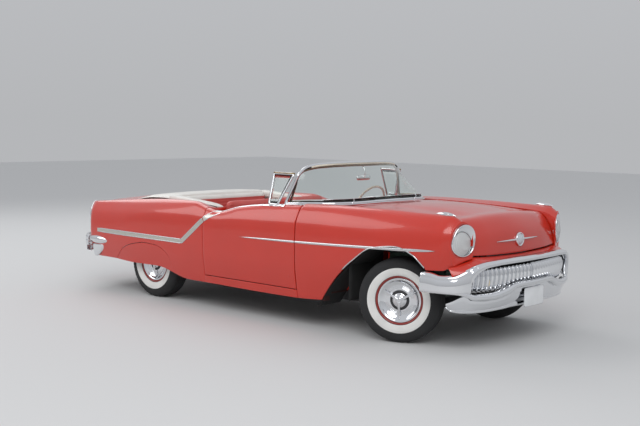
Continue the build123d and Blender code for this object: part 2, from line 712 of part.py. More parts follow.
# The mouth's outline, half of it: points (y, z) from the middle of its top to the middle of its foot
MOUTH = [(0, 706), (423, 698), (618, 684), (722, 640), (775, 566), (783, 480), (600, 474), (400, 500), (270, 530),
         (0, 530)]
# The lower bar's line: points (x, y, z) from the middle to the corner
LOWER_BAR = [(NOSE - 23, 0, 514), (NOSE - 34, 270, 512), (NOSE - 48, 400, 472), (NOSE - 76, 560, 448),
             (NOSE - 146, 770, 450), (NOSE - 172, 808, 466)]


def bumper_plan(back, shrink):
    """The bumper's plan between its outer face and a face moved back, as a flat shape."""
    def side_line(dx, share):
        middle = (NOSE - dx, 0)
        edges = []
        for s in (1, -1):
            knee = (NOSE - 144 - dx, s * 780 * share)
            edges.append(ThreePointArc(middle, (NOSE - 37 - dx, s * 400 * share), knee))
            edges.append(ThreePointArc(knee, (NOSE - 222 - dx, s * 877 * share), (NOSE - 364 - dx, s * 938 * share)))
            edges.append(Line((NOSE - 364 - dx, s * 938 * share), (NOSE - 527, s * 950 * share)))
        return edges

    outer, inner = side_line(0, 1), side_line(back, shrink)
    ends = [Line((NOSE - 527, s * 950), (NOSE - 527, s * 950 * shrink)) for s in (1, -1)]
    return make_face(outer + inner + ends)


def front_outline(points, low_x=0):
    """An outline in y and z, mirrored about the middle and carried along the car."""
    whole = points + [(-y, z) for y, z in reversed(points) if y]
    return along(Polygon(*whole, align=None), low_x, 3000)


def plate_holes():
    """The four holes of the front plate, through its bracket as well."""
    holes = []
    for y in (-PLATE_HOLES_Y / 2, PLATE_HOLES_Y / 2):
        for z in (PLATE_Z - PLATE_HOLES_Z / 2, PLATE_Z + PLATE_HOLES_Z / 2):
            holes.append(rod((PLATE_X - 80, y, z), (PLATE_X + 10, y, z), PLATE_HOLE_R))
    return Compound(holes)


def front_bumper():
    """The front bumper: a band that wraps the corners over the mouth, a lower bar, a pan and a plate bracket."""
    band = level(bumper_plan(64, BUMPER_INNER), 440, 750)
    sides = [(0, 745), (288, 743), (608, 731), (708, 713), (788, 684), (847, 652), (895, 628), (952, 645), (952, 478),
             (0, 478)]
    band = (band & front_outline(sides)) - front_outline(MOUTH)
    pan = Pos(-40, 0, 0) * level(bumper_plan(50, 0.955), 306, 470)
    lower = [(0, 452), (420, 430), (560, 440), (780, 470), (900, 400), (885, 340), (840, 312), (600, 308), (0, 314)]
    pan = pan & front_outline(lower, NOSE - 404)
    bar_line = [(x, -y, z) for x, y, z in reversed(LOWER_BAR[1:])] + LOWER_BAR
    rolls = [rod(a, b, BAR_R) for a, b in zip(bar_line, bar_line[1:])]
    rolls += [Pos(*point) * Sphere(BAR_R) for point in bar_line]
    bracket = block(PLATE_X - 60, PLATE_X - 2, -30, 30, 440, 470) + block(PLATE_X - 4, PLATE_X, -140, 140, 322, 470)
    whole = fused([band, pan, bracket] + rolls)
    for side in (1, -1):
        whole += block(NOSE - 319, NOSE - 99, side * 375, side * 425, 375, 425)
        whole += block(NOSE - 98, NOSE - 46, side * 300, side * 340, 400, 500)
    return whole - plate_holes() - frame()


def front_plate():
    """The blank plate on the front bumper's bracket, with its four holes."""
    half, tall = PLATE_HALF
    return block(PLATE_X, PLATE_X + 2, -half, half, PLATE_Z - tall, PLATE_Z + tall) - plate_holes()


def grille():
    """The grille in the mouth: upright ribs on a curved back, and a round parking lamp in each lower corner."""
    hidden = [(0, 712), (700, 712), (735, 640), (745, 560), (745, GRILLE_Z), (0, GRILLE_Z)]
    shell = Pos(-88, 0, 0) * level(bumper_plan(12, 0.985), GRILLE_Z, 712) & front_outline(hidden, NOSE - 330)
    ribs = []
    for i in range(-RIBS, RIBS + 1):
        y = i * RIB_PITCH
        x = NOSE - 86 - (y / BUMPER_INNER) ** 2 / (2 * BUMPER_R)
        ribs.append(rod((x, y, GRILLE_Z), (x, y, 706), RIB_R))
    lamps = [rod((NOSE - 174, s * 541, 547), (NOSE - 108, s * 541, 547), 30) for s in (1, -1)]
    band = front_bumper()
    hangers = [block(NOSE - 140, NOSE - 60, s * 388, s * 412, 690, 716) - band for s in (1, -1)]
    return fused([shell] + ribs + lamps + hangers)


def bumper_arms(room=0):
    """The two arms from the frame's rear ends to the rear bumper, grown all round by room."""
    arms = []
    for side in (1, -1):
        arms.append(block(-NOSE + 309 + room, -NOSE + 84, side * (495 - room), side * (545 + room), 445 - room, 495 + room))
    return arms


def pod(side):
    """A rear bumper end: a bullet along the quarter and the wedge below it."""
    rear_x, front_x, y, z = POD
    middle = rear_x + 150
    profile = make_face([ThreePointArc((rear_x, 0), (rear_x + 50, POD_R * 0.75), (middle, POD_R)),
                         ThreePointArc((middle, POD_R), (front_x - 90, POD_R * 0.72), (front_x, 0)),
                         Line((front_x, 0), (rear_x, 0))])
    bullet = Pos(0, side * y, z) * revolve(profile, Axis.X)
    wedge = Polygon((rear_x + 30, z - 16), (front_x - 40, z - 16), (-2095, 372), (-2190, 350), align=None)
    return bullet + across(wedge, min(side * (y - 50), side * (y + 34)), max(side * (y - 50), side * (y + 34)))


def rear_bar():
    """The rear bumper's bar, which wraps the tail."""
    edges = []
    for dx, share in ((0, 1), (34, 0.965)):
        for s in (1, -1):
            middle, knee = (-NOSE + dx, 0), (-NOSE + 134 + dx, s * 780 * share)
            end = (-NOSE + 344 + dx, s * 930 * share)
            edges.append(ThreePointArc(middle, (-NOSE + 34 + dx, s * 400 * share), knee))
            edges.append(ThreePointArc(knee, (-NOSE + 212 + dx, s * 868 * share), end))
    for s in (1, -1):
        edges.append(Line((-NOSE + 344, s * 930), (-NOSE + 378, s * 930 * 0.965)))
    return level(make_face(edges), 452, 566)


def rear_bumper():
    """The rear bumper: a bar that wraps the tail, a pan below it, a bullet with its guard at each end, two guards."""
    low = Pos(16, 0, -80) * rear_bar() & block(-NOSE - 356, -NOSE + 264, -760, 760, 300, 460)
    pieces = [rear_bar(), low, pod(1), pod(-1)] + bumper_arms()
    for side in (1, -1):
        pieces.append(block(-NOSE + 4, -NOSE + 50, side * 330 - 28, side * 330 + 28, 360, 600))
    return fused(pieces)


def tail_lamps():
    """The two round tail lamps at the ends of the quarters, each a bright ring with a domed lens."""
    y, z, r = TAIL_LAMP
    left = turned([(0, 0), (0, r), (-34, r), (-34, r - 8)], (-62, 0), TAIL_X, y, z)
    return Compound([left, mirrored(left)])


def tyre():
    """A tyre about the Y axis: round sidewalls, round shoulders and a flat tread."""
    edges = []
    for s in (1, -1):
        bead, bulge, shoulder = (BEAD[0], s * BEAD[1]), (274, s * TYRE_HALF), (336, s * 88)
        edges.append(ThreePointArc(bead, bulge, shoulder))
        edges.append(ThreePointArc(shoulder, (TYRE_R - 6, s * 77), (TYRE_R, s * TREAD_HALF)))
    edges.append(Line((TYRE_R, TREAD_HALF), (TYRE_R, -TREAD_HALF)))
    edges.append(Line((BEAD[0], BEAD[1]), (BEAD[0], -BEAD[1])))
    return revolve(make_face(edges), Axis.Y)


# A spinner blade's outline: points (radius, outward)
BLADE = [(30, 60), (150, 50), (160, 60), (152, 80), (60, 94), (30, 94)]


def wheel(out):
    """A wheel with its drum and bright cover about the Y axis, its outer face toward out (1 or -1)."""
    rim = [(196, -76), (196, -70), (190, -62), (190, 62), (196, 70), (196, 78), (184, 80), (150, 56), (90, 62),
           (50, 88), (0, 96), (0, 52), (SPINDLE_R + RUNNING, 52), (SPINDLE_R + RUNNING, -38), (DRUM_R, -38),
           (DRUM_R, 16), (176, 26), (178, -76)]
    section = Polygon(*[(r, a * out) for r, a in rim], align=None)
    whole = revolve(section, Axis.Y)
    blade = extrude(Plane.XY * Polygon(*[(r, a * out) for r, a in BLADE], align=None), 9, both=True)
    for turn in (30, 150, 270):
        whole += Rot(0, turn, 0) * blade
    return whole


def steered(shape, side, turn=STEER_REST):
    """A front wheel's piece moved from the origin to its place, turned about the kingpin."""
    kingpin_y = side * (FRONT_TRACK / 2 - KINGPIN_INSET)
    return Pos(FRONT_X, kingpin_y, TYRE_R) * Rot(0, 0, turn) * Pos(0, side * KINGPIN_INSET, 0) * shape


def knuckle(side):
    """A steering knuckle: the kingpin, its body and the spindle that carries the wheel."""
    out = side * (KINGPIN_INSET + 44)
    spindle = rod((0, 0, 0), (0, out, 0), SPINDLE_R)
    post = rod((0, 0, ARM_LOW - TYRE_R - 14), (0, 0, ARM_HIGH - TYRE_R + 14), KINGPIN_R)
    body = rod((0, 0, -70), (0, 0, 70), 22)
    arm = bar((0, 0, -50), (-150, -side * 20, -50), 24, 20)
    whole = fused([spindle, post, body, arm])
    kingpin_y = side * (FRONT_TRACK / 2 - KINGPIN_INSET)
    return Pos(FRONT_X, kingpin_y, TYRE_R) * Rot(0, 0, STEER_REST) * whole


def control_arms():
    """The wishbones of the front suspension, from the frame to the kingpins."""
    arms = []
    for side in (1, -1):
        kingpin_y = side * (FRONT_TRACK / 2 - KINGPIN_INSET)
        for z, inner_y, spread in ((ARM_LOW, 380, 150), (ARM_HIGH, 450, 100)):
            eye = rod((FRONT_X, kingpin_y, z - 12), (FRONT_X, kingpin_y, z + 12), 20)
            pieces = [eye]
            for dx in (spread, -spread):
                pieces.append(bar((FRONT_X + dx, side * inner_y, z), (FRONT_X, kingpin_y - side * 16, z), 28, 20))
            pivot = rod((FRONT_X - spread - 30, side * inner_y, z), (FRONT_X + spread + 30, side * inner_y, z), 18)
            arm = fused(pieces + [pivot])
            arm -= rod((FRONT_X, kingpin_y, z - 40), (FRONT_X, kingpin_y, z + 40), KINGPIN_R + RUNNING)
            arms.append(arm)
        arms.append(rod((FRONT_X, side * 470, 300), (FRONT_X, side * 430, 560), 50))
    return arms


def rear_axle():
    """The live rear axle: the tube, the differential and the wheels' shafts."""
    half = REAR_TRACK / 2
    tube = rod((REAR_X, -half + 46, TYRE_R), (REAR_X, half - 46, TYRE_R), 40)
    ends = rod((REAR_X, -half - 44, TYRE_R), (REAR_X, half + 44, TYRE_R), SPINDLE_R)
    ball = Pos(REAR_X, 0, TYRE_R) * Sphere(140)
    nose = rod((REAR_X, 0, TYRE_R), (REAR_X + 220, 0, TYRE_R), 50)
    return fused([tube, ends, ball, nose])


def leaf_springs():
    """The two leaf springs under the rear axle."""
    springs = []
    for side in (1, -1):
        y = side * 496
        ends = [(REAR_X + 560, y, 285), (REAR_X + 60, y, 300), (REAR_X - 60, y, 300), (REAR_X - 700, y, 415)]
        springs.append(fused([bar(a, b, 60, 26) for a, b in zip(ends, ends[1:])]))
    return springs


def driveshaft():
    """The gearbox and the shaft to the rear axle."""
    box = block(560, 1260, -86, 86, 310, 430)
    shaft = rod((560, 0, TYRE_R), (REAR_X + 220, 0, TYRE_R), 40)
    return box + shaft


def engine_block():
    """The engine, as one plain mass with its round air cleaner."""
    mass = block(FRONT_X - 514, FRONT_X + 106, -230, 230, 330, 780)
    x = FRONT_X - 214
    return mass + rod((x, 0, 780), (x, 0, 930), 60) + rod((x, 0, 880), (x, 0, 960), 190)


def radiator():
    """The radiator behind the grille."""
    return block(NOSE - 374, NOSE - 314, -330, 330, 430, 930)


def exhaust():
    """The exhaust pipe on the right, with its muffler, and the tail pipe over the axle to the rear."""
    y = -330
    z = 222
    pieces = [rod((1400, y, z), (-900, y, z), PIPE_R), rod((340, y, z), (-350, y, z), 2 * PIPE_R)]
    for x in (400, -690):
        pieces.append(block(x - 10, x + 10, y - 10, y + 10, z, 250))
    tail = [(-900, y, z), (REAR_X + 200, TAIL_PIPE_Y, 436), (REAR_X - 160, TAIL_PIPE_Y, 436),
            (REAR_X - 480, TAIL_PIPE_Y, 320), (-2500, TAIL_PIPE_Y, 312)]
    pieces += [rod(a, b, PIPE_R) for a, b in zip(tail, tail[1:])]
    pieces += [Pos(*point) * Sphere(PIPE_R) for point in tail[:-1]]
    return fused(pieces)


def fuel_tank():
    """The fuel tank below the luggage floor."""
    tank = block(-2205, -1790, -400, 400, 380, REAR_FLOOR_Z)
    return fillet(tank.edges().filter_by(Axis.Z) + tank.edges().group_by(Axis.Z)[0], 40)


def mirror_piece():
    """The rear-view mirror on its stalk."""
    stem = rod((900, 0, 1080), (760, 0, 1290), 7)
    return stem + block(740, 760, -100, 100, 1270, 1320)


def main():
    """Build and write every piece."""
    save("frame", frame())
    save("floor_pan", floor_pan())
    save("cowl", cowl())
    for name, shape in (("fender", fender()), ("quarter", quarter()), ("door", door()), ("vent_window", vent_window())):
        save(f"{name}_left", shape)
        save(f"{name}_right", mirrored(shape))
    skirt_left = skirt()
    save("fender_skirts", Compound([skirt_left, mirrored(skirt_left)]))
    save("hood", hood())
    save("nose_ornament", nose_ornament())
    save("trunk_lid", trunk_lid())
    save("tail_panel", tail_panel())
    save("windshield_frame", windshield_frame())
    save("windshield_glass", windshield_glass())
    save("dashboard", dashboard())
    save("steering_column", steering_column())
    save("steering_wheel", steering_wheel())
    save("front_seat", front_seat())
    save("rear_seat", rear_seat())
    save("top_boot", top_boot())
    save("front_bumper", front_bumper())
    save("front_plate", front_plate())
    save("grille", grille())
    save("rear_bumper", rear_bumper())
    save("headlamps", headlamps())
    save("tail_lamps", tail_lamps())
    save("control_arms", Compound(control_arms()))
    save("rear_axle", rear_axle())
    save("leaf_springs", Compound(leaf_springs()))
    save("driveshaft", driveshaft())
    save("engine_block", engine_block())
    save("radiator", radiator())
    save("exhaust", exhaust())
    save("fuel_tank", fuel_tank())
    save("mirror", mirror_piece())
    for side, name in ((1, "left"), (-1, "right")):
        save(f"knuckle_{name}", knuckle(side))
        save(f"front_tyre_{name}", steered(tyre(), side))
        save(f"front_wheel_{name}", steered(wheel(side), side))
        rear = Pos(REAR_X, side * REAR_TRACK / 2, TYRE_R)
        save(f"rear_tyre_{name}", rear * tyre())
        save(f"rear_wheel_{name}", rear * wheel(side))


main()
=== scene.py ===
"""Dresses the open 1950s car: panels, bright work, glass, cabin and running gear round the fixed frame."""

import bmesh
import bpy
import numpy as np
from mathutils import Matrix


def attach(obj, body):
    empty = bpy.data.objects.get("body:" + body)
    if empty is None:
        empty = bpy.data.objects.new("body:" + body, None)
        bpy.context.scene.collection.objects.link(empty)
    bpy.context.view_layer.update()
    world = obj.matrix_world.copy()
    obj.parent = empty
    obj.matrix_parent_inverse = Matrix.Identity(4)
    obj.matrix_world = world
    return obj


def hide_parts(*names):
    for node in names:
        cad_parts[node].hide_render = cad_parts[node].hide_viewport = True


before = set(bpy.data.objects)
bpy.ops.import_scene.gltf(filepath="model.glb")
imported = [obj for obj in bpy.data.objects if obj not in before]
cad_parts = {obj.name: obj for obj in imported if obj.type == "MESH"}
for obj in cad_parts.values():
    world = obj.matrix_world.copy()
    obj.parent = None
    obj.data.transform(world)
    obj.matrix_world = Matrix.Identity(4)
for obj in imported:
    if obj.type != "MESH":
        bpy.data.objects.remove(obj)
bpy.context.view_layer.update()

# Driving sizes, in metres
FRONT_X = 1.774
REAR_X = -1.325
TYRE_R = 0.355
FRONT_TRACK = 1.499
REAR_TRACK = 1.473
KINGPIN_INSET = 0.060
STEER_REST = np.radians(21)
DOOR_FRONT = 0.764
DOOR_REAR = -0.436
SEAM = 0.008
DOOR_BOTTOM = 0.337
DOOR_INNER_Y = 0.855
TAIL_X = -2.350
NOSE_X = 2.430
SWEPT_FROM = 2.280
HOOD_REAR = 1.240
HOOD_HALF = 0.655
LID_FRONT = -1.800
LID_HALF = 0.700
SKIN = 0.012
LAMP = (2.340, 0.757, 0.869)
SIDES = (("left", 1), ("right", -1))

# Columns: x, then z and y of the sill, the waist, the shoulder, the crest and the inner edge
FLANK = np.array([
    (2430, 702, 826, 869, 868, 985, 842, 1040, 765, 990, 665),
    (2300, 657, 868, 850, 905, 1000, 872, 1086, 782, 1040, 665),
    (2000, 640, 912, 780, 942, 1000, 905, 1092, 802, 1062, 665),
    (1600, 300, 900, 720, 958, 985, 926, 1096, 822, 1078, 665),
    (1200, 284, 905, 680, 964, 975, 936, 1094, 836, 1085, 665),
    (764, 258, 917, 660, 967, 965, 941, 1082, 850, 1078, 665),
    (382, 255, 914, 660, 969, 950, 943, 1060, 862, 1056, 800),
    (-9, 257, 916, 660, 970, 930, 946, 1013, 880, 1008, 800),
    (-295, 260, 917, 660, 970, 900, 950, 951, 895, 946, 800),
    (-436, 260, 917, 660, 970, 910, 948, 978, 886, 962, 720),
    (-667, 260, 916, 660, 968, 935, 938, 1028, 855, 985, 720),
    (-1158, 345, 915, 660, 965, 925, 932, 1015, 832, 990, 720),
    (-1557, 340, 908, 655, 958, 900, 922, 988, 826, 975, 720),
    (-1891, 352, 895, 650, 945, 875, 905, 960, 820, 950, 720),
    (-2250, 350, 872, 640, 926, 862, 890, 932, 822, 905, 720),
    (-2350, 352, 805, 640, 856, 862, 842, 924, 796, 892, 720)]) / 1000
ARCH = np.array([(1000, 200), (1090, 330), (1240, 500), (1422, 655), (1623, 780), (1872, 812), (2040, 758),
                 (2140, 655)]) / 1000
SKIRT_EDGE = np.array([(-1834, 362), (-1706, 476), (-1590, 524), (-1459, 553), (-1314, 571), (-1156, 563),
                       (-1040, 530), (-972, 478), (-936, 400), (-922, 300)]) / 1000


# Arithmetic on rows of numbers

def smooth(xs, table, x):
    """A cubic through a table's rows that never overshoots: each slope is its neighbours' harmonic mean."""
    gap = np.diff(xs)[:, None]
    rise = np.diff(table, axis=0) / gap
    slope = np.zeros_like(table, float)
    same = rise[1:] * rise[:-1] > 0
    slope[1:-1] = np.where(same, 2 * rise[1:] * rise[:-1] / np.where(same, rise[1:] + rise[:-1], 1), 0)
    slope[0], slope[-1] = rise[0], rise[-1]
    x = np.clip(x, xs[0], xs[-1])
    k = np.clip(np.searchsorted(xs, x, side="right") - 1, 0, len(xs) - 2)
    h = gap[k]
    t = (x - xs[k])[:, None] / h
    return ((2 * t**3 - 3 * t**2 + 1) * table[k] + (t**3 - 2 * t**2 + t) * h * slope[k]
            + (3 * t**2 - 2 * t**3) * table[k + 1] + (t**3 - t**2) * h * slope[k + 1])


def spline_rows(points, count):
    """A curve through each row's points: cubic pieces whose slope at a point leans to its nearer side."""
    run = np.linalg.norm(np.diff(points, axis=1), axis=2).mean(axis=0)
    knots = np.concatenate([[0], np.cumsum(run)])
    gap = np.diff(knots)[None, :, None]
    rise = np.diff(points, axis=1) / gap
    slope = np.empty_like(points)
    lean = gap[:, 1:] / (gap[:, 1:] + gap[:, :-1])
    slope[:, 1:-1] = rise[:, :-1] * lean + rise[:, 1:] * (1 - lean)
    slope[:, 0], slope[:, -1] = rise[:, 0], rise[:, -1]
    at = np.linspace(0, knots[-1], count)
    k = np.clip(np.searchsorted(knots, at, side="right") - 1, 0, len(run) - 1)
    h = gap[:, k]
    t = (at - knots[k])[None, :, None] / h
    return ((2 * t**3 - 3 * t**2 + 1) * points[:, k] + (t**3 - 2 * t**2 + t) * h * slope[:, k]
            + (3 * t**2 - 2 * t**3) * points[:, k + 1] + (t**3 - t**2) * h * slope[:, k + 1])


def curve(points, count):
    """Points along one smooth curve through the given points."""
    return spline_rows(np.asarray(points, float)[None], count)[0]


def unit(v):
    """Vectors along the last axis, each with length one."""
    return v / np.maximum(np.linalg.norm(v, axis=-1, keepdims=True), 1e-12)


def stack(*parts):
    """Arrays joined as the last axis, each one broadcast to the common shape."""
    return np.stack(np.broadcast_arrays(*parts), axis=-1).astype(float)


# Meshes

def mesh_object(name, verts, faces, *materials):
    """A smooth-shaded object at the origin."""
    mesh = bpy.data.meshes.new(name)
    mesh.from_pydata(np.asarray(verts, float).reshape(-1, 3).tolist(), [], [list(f) for f in faces])
    mesh.polygons.foreach_set("use_smooth", [True] * len(mesh.polygons))
    mesh.update()
    obj = bpy.data.objects.new(name, mesh)
    bpy.context.scene.collection.objects.link(obj)
    for material in materials:
        mesh.materials.append(material)
    return obj


def quads(rows, cols, wrap_rows=False, wrap_cols=False):
    """The faces between a grid's points; a grid may close on itself either way."""
    i = np.arange(rows if wrap_rows else rows - 1)[:, None]
    j = np.arange(cols if wrap_cols else cols - 1)[None, :]
    i2, j2 = (i + 1) % rows, (j + 1) % cols
    return np.stack([i * cols + j, i * cols + j2, i2 * cols + j2, i2 * cols + j],
                    axis=-1).reshape(-1, 4).tolist()


def sheet(name, grid, *materials, wrap_rows=False, wrap_cols=False, caps=False, flip=False):
    """A mesh over a grid of points; caps closes a tube's first and last rows."""
    rows, cols = grid.shape[:2]
    faces = quads(rows, cols, wrap_rows, wrap_cols)
    if caps:
        faces += [list(range(cols))[::-1], list(range((rows - 1) * cols, rows * cols))]
    if flip:
        faces = [f[::-1] for f in faces]
    return mesh_object(name, grid, faces, *materials)


def tidy(obj):
    """Doubles merged and every face turned outwards."""
    work = bmesh.new()
    work.from_mesh(obj.data)
    bmesh.ops.remove_doubles(work, verts=work.verts, dist=1e-5)
    bmesh.ops.recalc_face_normals(work, faces=work.faces)
    work.to_mesh(obj.data)
    work.free()
    return obj


def modifier(obj, kind, **values):
    """A modifier with these values."""
    made = obj.modifiers.new(kind.title(), kind)
    for key, value in values.items():
        setattr(made, key, value)
    return obj


def thick(obj, depth, edge=0.0015, inner=0):
    """A panel's thickness, inward from its face, with its edges rounded."""
    modifier(obj, "SOLIDIFY", thickness=depth, offset=-1, material_offset=inner)
    return modifier(obj, "BEVEL", width=edge, segments=2, limit_method="ANGLE", angle_limit=np.radians(50))


def plated(obj, depth, offset=0):
    """A plain thickness, half to each side unless an offset says otherwise."""
    return modifier(obj, "SOLIDIFY", thickness=depth, offset=offset)


def fasten(parts, body):
    """Each part rides on the body."""
    for obj in parts:
        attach(obj, body)


def joined(name, parts):
    """One object from several, with their materials kept."""
    with bpy.context.temp_override(active_object=parts[0], selected_editable_objects=parts):
        bpy.ops.object.join()
    parts[0].name = name
    return parts[0]


def ring(radius, count=12, squash=1.0):
    """A circle's points as a section, or an ellipse's."""
    t = np.arange(count) * 2 * np.pi / count
    return stack(np.cos(t) * radius, np.sin(t) * radius * squash)


def sweep(name, path, section, material, up=(0, 0, 1), scale=1.0, wrap=False):
    """A closed section carried along a path: path + side * a + rise * b, with rise as near up as can be."""
    path = np.asarray(path, float)
    ahead = np.roll(path, -1, axis=0) if wrap else np.vstack([path[1:], path[-1:]])
    behind = np.roll(path, 1, axis=0) if wrap else np.vstack([path[:1], path[:-1]])
    along = unit(ahead - behind)
    side = unit(np.cross(along, np.broadcast_to(np.asarray(up, float), path.shape)))
    rise = np.cross(side, along)
    flat = np.asarray(section, float)[None] * np.broadcast_to(scale, (len(path),))[:, None, None]
    grid = path[:, None] + side[:, None] * flat[..., :1] + rise[:, None] * flat[..., 1:]
    return tidy(sheet(name, grid, material, wrap_rows=wrap, wrap_cols=True, caps=not wrap))


def turned(name, profile, centre, axis, material, count=96):
    """A closed profile of (radius, along) points turned about an axis through centre."""
    axis = unit(np.asarray(axis, float))
    upright = (1.0, 0.0, 0.0) if abs(axis[2]) > 0.9 else (0.0, 0.0, 1.0)
    side = unit(np.cross(axis, upright))
    third = np.cross(axis, side)
    t = np.arange(count)[:, None] * 2 * np.pi / count
    round_ = side * np.cos(t) + third * np.sin(t)
    profile = np.asarray(profile, float)
    grid = np.asarray(centre) + profile[:, None, :1] * round_ + profile[:, None, 1:] * axis
    return tidy(sheet(name, grid, material, wrap_rows=True, wrap_cols=True))


# Materials

def material(name, colour, rough=0.5, metal=0.0, **extra):
    """A material with its shader and node tree, ready for its pattern."""
    made = bpy.data.materials.new(name)
    made.use_nodes = True
    shader = made.node_tree.nodes["Principled BSDF"]
    shader.inputs["Base Color"].default_value = (*colour, 1)
    shader.inputs["Roughness"].default_value = rough
    shader.inputs["Metallic"].default_value = metal
    for key, value in extra.items():
        shader.inputs[key.replace("_", " ")].default_value = value
    return made


def node(made, kind, links=(), **values):
    """A node with its values, wired from (its input, another node, that node's output)."""
    new = made.node_tree.nodes.new(kind)
    for key, value in values.items():
        if hasattr(new, key):
            setattr(new, key, value)
        else:
            new.inputs[key.replace("_", " ")].default_value = value
    for socket, source, output in links:
        made.node_tree.links.new(source.outputs[output], new.inputs[socket])
    return new


def wire(made, source, output, socket):
    """Joins a node's output to the shader."""
    made.node_tree.links.new(source.outputs[output], made.node_tree.nodes["Principled BSDF"].inputs[socket])


def noise(made, scale, detail=3.0, stretch=(1, 1, 1)):
    """A noise pattern on object coordinates, stretched along an axis if asked."""
    where = node(made, "ShaderNodeTexCoord")
    turn = node(made, "ShaderNodeMapping", [("Vector", where, "Object")])
    turn.inputs["Scale"].default_value = stretch
    return node(made, "ShaderNodeTexNoise", [("Vector", turn, "Vector")], Scale=scale, Detail=detail)


def tint(made, pattern, low, high, output="Fac", start=0.3, end=0.7):
    """The colour runs from low to high with the pattern."""
    ramp = node(made, "ShaderNodeValToRGB", [("Fac", pattern, output)])
    ramp.color_ramp.elements[0].position = start
    ramp.color_ramp.elements[1].position = end
    ramp.color_ramp.elements[0].color = (*low, 1)
    ramp.color_ramp.elements[1].color = (*high, 1)
    wire(made, ramp, "Color", "Base Color")
    return made


def polish(made, pattern, low, high, output="Fac"):
    """The roughness runs from low to high with the pattern."""
    span = node(made, "ShaderNodeMapRange", [("Value", pattern, output)])
    span.inputs["To Min"].default_value = low
    span.inputs["To Max"].default_value = high
    wire(made, span, "Result", "Roughness")
    return made


def relief(made, pattern, depth, output="Fac", strength=1.0):
    """The pattern raises the surface by up to depth metres."""
    bump = node(made, "ShaderNodeBump", [("Height", pattern, output)], Distance=depth, Strength=strength)
    wire(made, bump, "Normal", "Normal")
    return made


def paint(name, colour):
    """Enamel: a slight mottle of colour, a fine orange-peel surface and a clear gloss."""
    made = material(name, colour, 0.3, Coat_Weight=0.7, Coat_Roughness=0.03)
    mottle = noise(made, 3.0)
    tint(made, mottle, [c * 0.97 for c in colour], [min(1, c * 1.03) for c in colour])
    polish(made, noise(made, 12.0), 0.26, 0.32)
    return relief(made, noise(made, 70.0, 1.0), 0.00001)


def bright(name, colour=(0.80, 0.81, 0.83), rough=0.05):
    """Plated metal with faint wiping marks in its polish."""
    made = material(name, colour, rough, 1.0)
    polish(made, noise(made, 9.0, 5.0, (1, 1, 3)), rough * 0.6, rough * 1.8)
    return relief(made, noise(made, 22.0, 2.0), 0.00005)


def dull_metal(name, colour, rough, metal=1.0):
    """Bare or painted chassis metal, a little stained and uneven."""
    made = material(name, colour, rough, metal)
    stain = noise(made, 12.0, 6.0)
    tint(made, stain, [c * 0.7 for c in colour], [min(1, c * 1.2) for c in colour])
    polish(made, stain, rough * 0.8, min(1, rough * 1.3))
    return relief(made, noise(made, 120.0, 4.0), 0.0003)


def vinyl(name, colour, rough=0.42):
    """Grained vinyl: small raised cells, and a slight wear in the colour."""
    made = material(name, colour, rough)
    tint(made, noise(made, 7.0, 4.0), [c * 0.93 for c in colour], [min(1, c * 1.05) for c in colour])
    where = node(made, "ShaderNodeTexCoord")
    cells = node(made, "ShaderNodeTexVoronoi", [("Vector", where, "Object")], Scale=650.0)
    return relief(made, cells, 0.0003, "Distance", 0.6)


PAINT = paint("vermilion enamel", (0.60, 0.024, 0.008))
UNDERSEAL = dull_metal("underseal", (0.02, 0.02, 0.02), 0.9, 0.0)
CHROME = bright("chrome plate")
STAINLESS = bright("polished stainless trim", (0.72, 0.73, 0.74), 0.12)
BLACK = dull_metal("chassis black", (0.03, 0.03, 0.032), 0.5, 0.0)
STEEL = dull_metal("dull steel", (0.35, 0.35, 0.36), 0.5)
CAST = dull_metal("engine green", (0.08, 0.15, 0.12), 0.5, 0.0)
RED_VINYL = vinyl("red vinyl", (0.60, 0.085, 0.072))
WHITE_VINYL = vinyl("white vinyl", (0.80, 0.78, 0.73))
RUBBER = dull_metal("black rubber", (0.022, 0.022, 0.023), 0.75, 0.0)
CREAM = vinyl("cream plastic", (0.80, 0.75, 0.62), 0.2)


def glass(name, colour, rough=0.0, alpha_like=1.0):
    """Clear glass: thin, faintly tinted, with a slow wave in its surface."""
    made = material(name, colour, rough, IOR=1.3, Transmission_Weight=alpha_like)
    return relief(made, noise(made, 4.0, 1.0), 0.0001, strength=0.3)


GLASS = glass("window glass", (0.93, 0.98, 0.96))


# Body panels

def sections(x):
    """The flank's fine sections at stations x: (x, 160, (z, y)) from the sill to the inner edge."""
    rows = smooth(FLANK[::-1, 0], FLANK[::-1, 1:], x)
    fine = spline_rows(rows.reshape(len(x), 5, 2), 160)
    fine[..., 1] -= 0.50 * np.clip(fine[..., 1] - 0.955, 0, None)
    return fine


def share_at(fine, level):
    """How far along each section its height first reaches the level, from 0 to 1."""
    below = (fine[..., 0] < level[:, None]).cumprod(axis=1).sum(axis=1)
    i = np.clip(below - 1, 0, fine.shape[1] - 2)
    row = np.arange(len(fine))
    low, high = fine[row, i, 0], fine[row, i + 1, 0]
    part = np.clip((level - low) / np.maximum(high - low, 1e-9), 0, 1)
    return np.where(below == 0, 0, (i + part) / (fine.shape[1] - 1))


def at_shares(fine, shares):
    """The sections' points at the given shares (x, rows)."""
    place = np.clip(shares, 0, 1) * (fine.shape[1] - 1)
    i = np.clip(place.astype(int), 0, fine.shape[1] - 2)
    part = (place - i)[..., None]
    low = np.take_along_axis(fine, i[..., None], axis=1)
    high = np.take_along_axis(fine, i[..., None] + 1, axis=1)
    return low + (high - low) * part


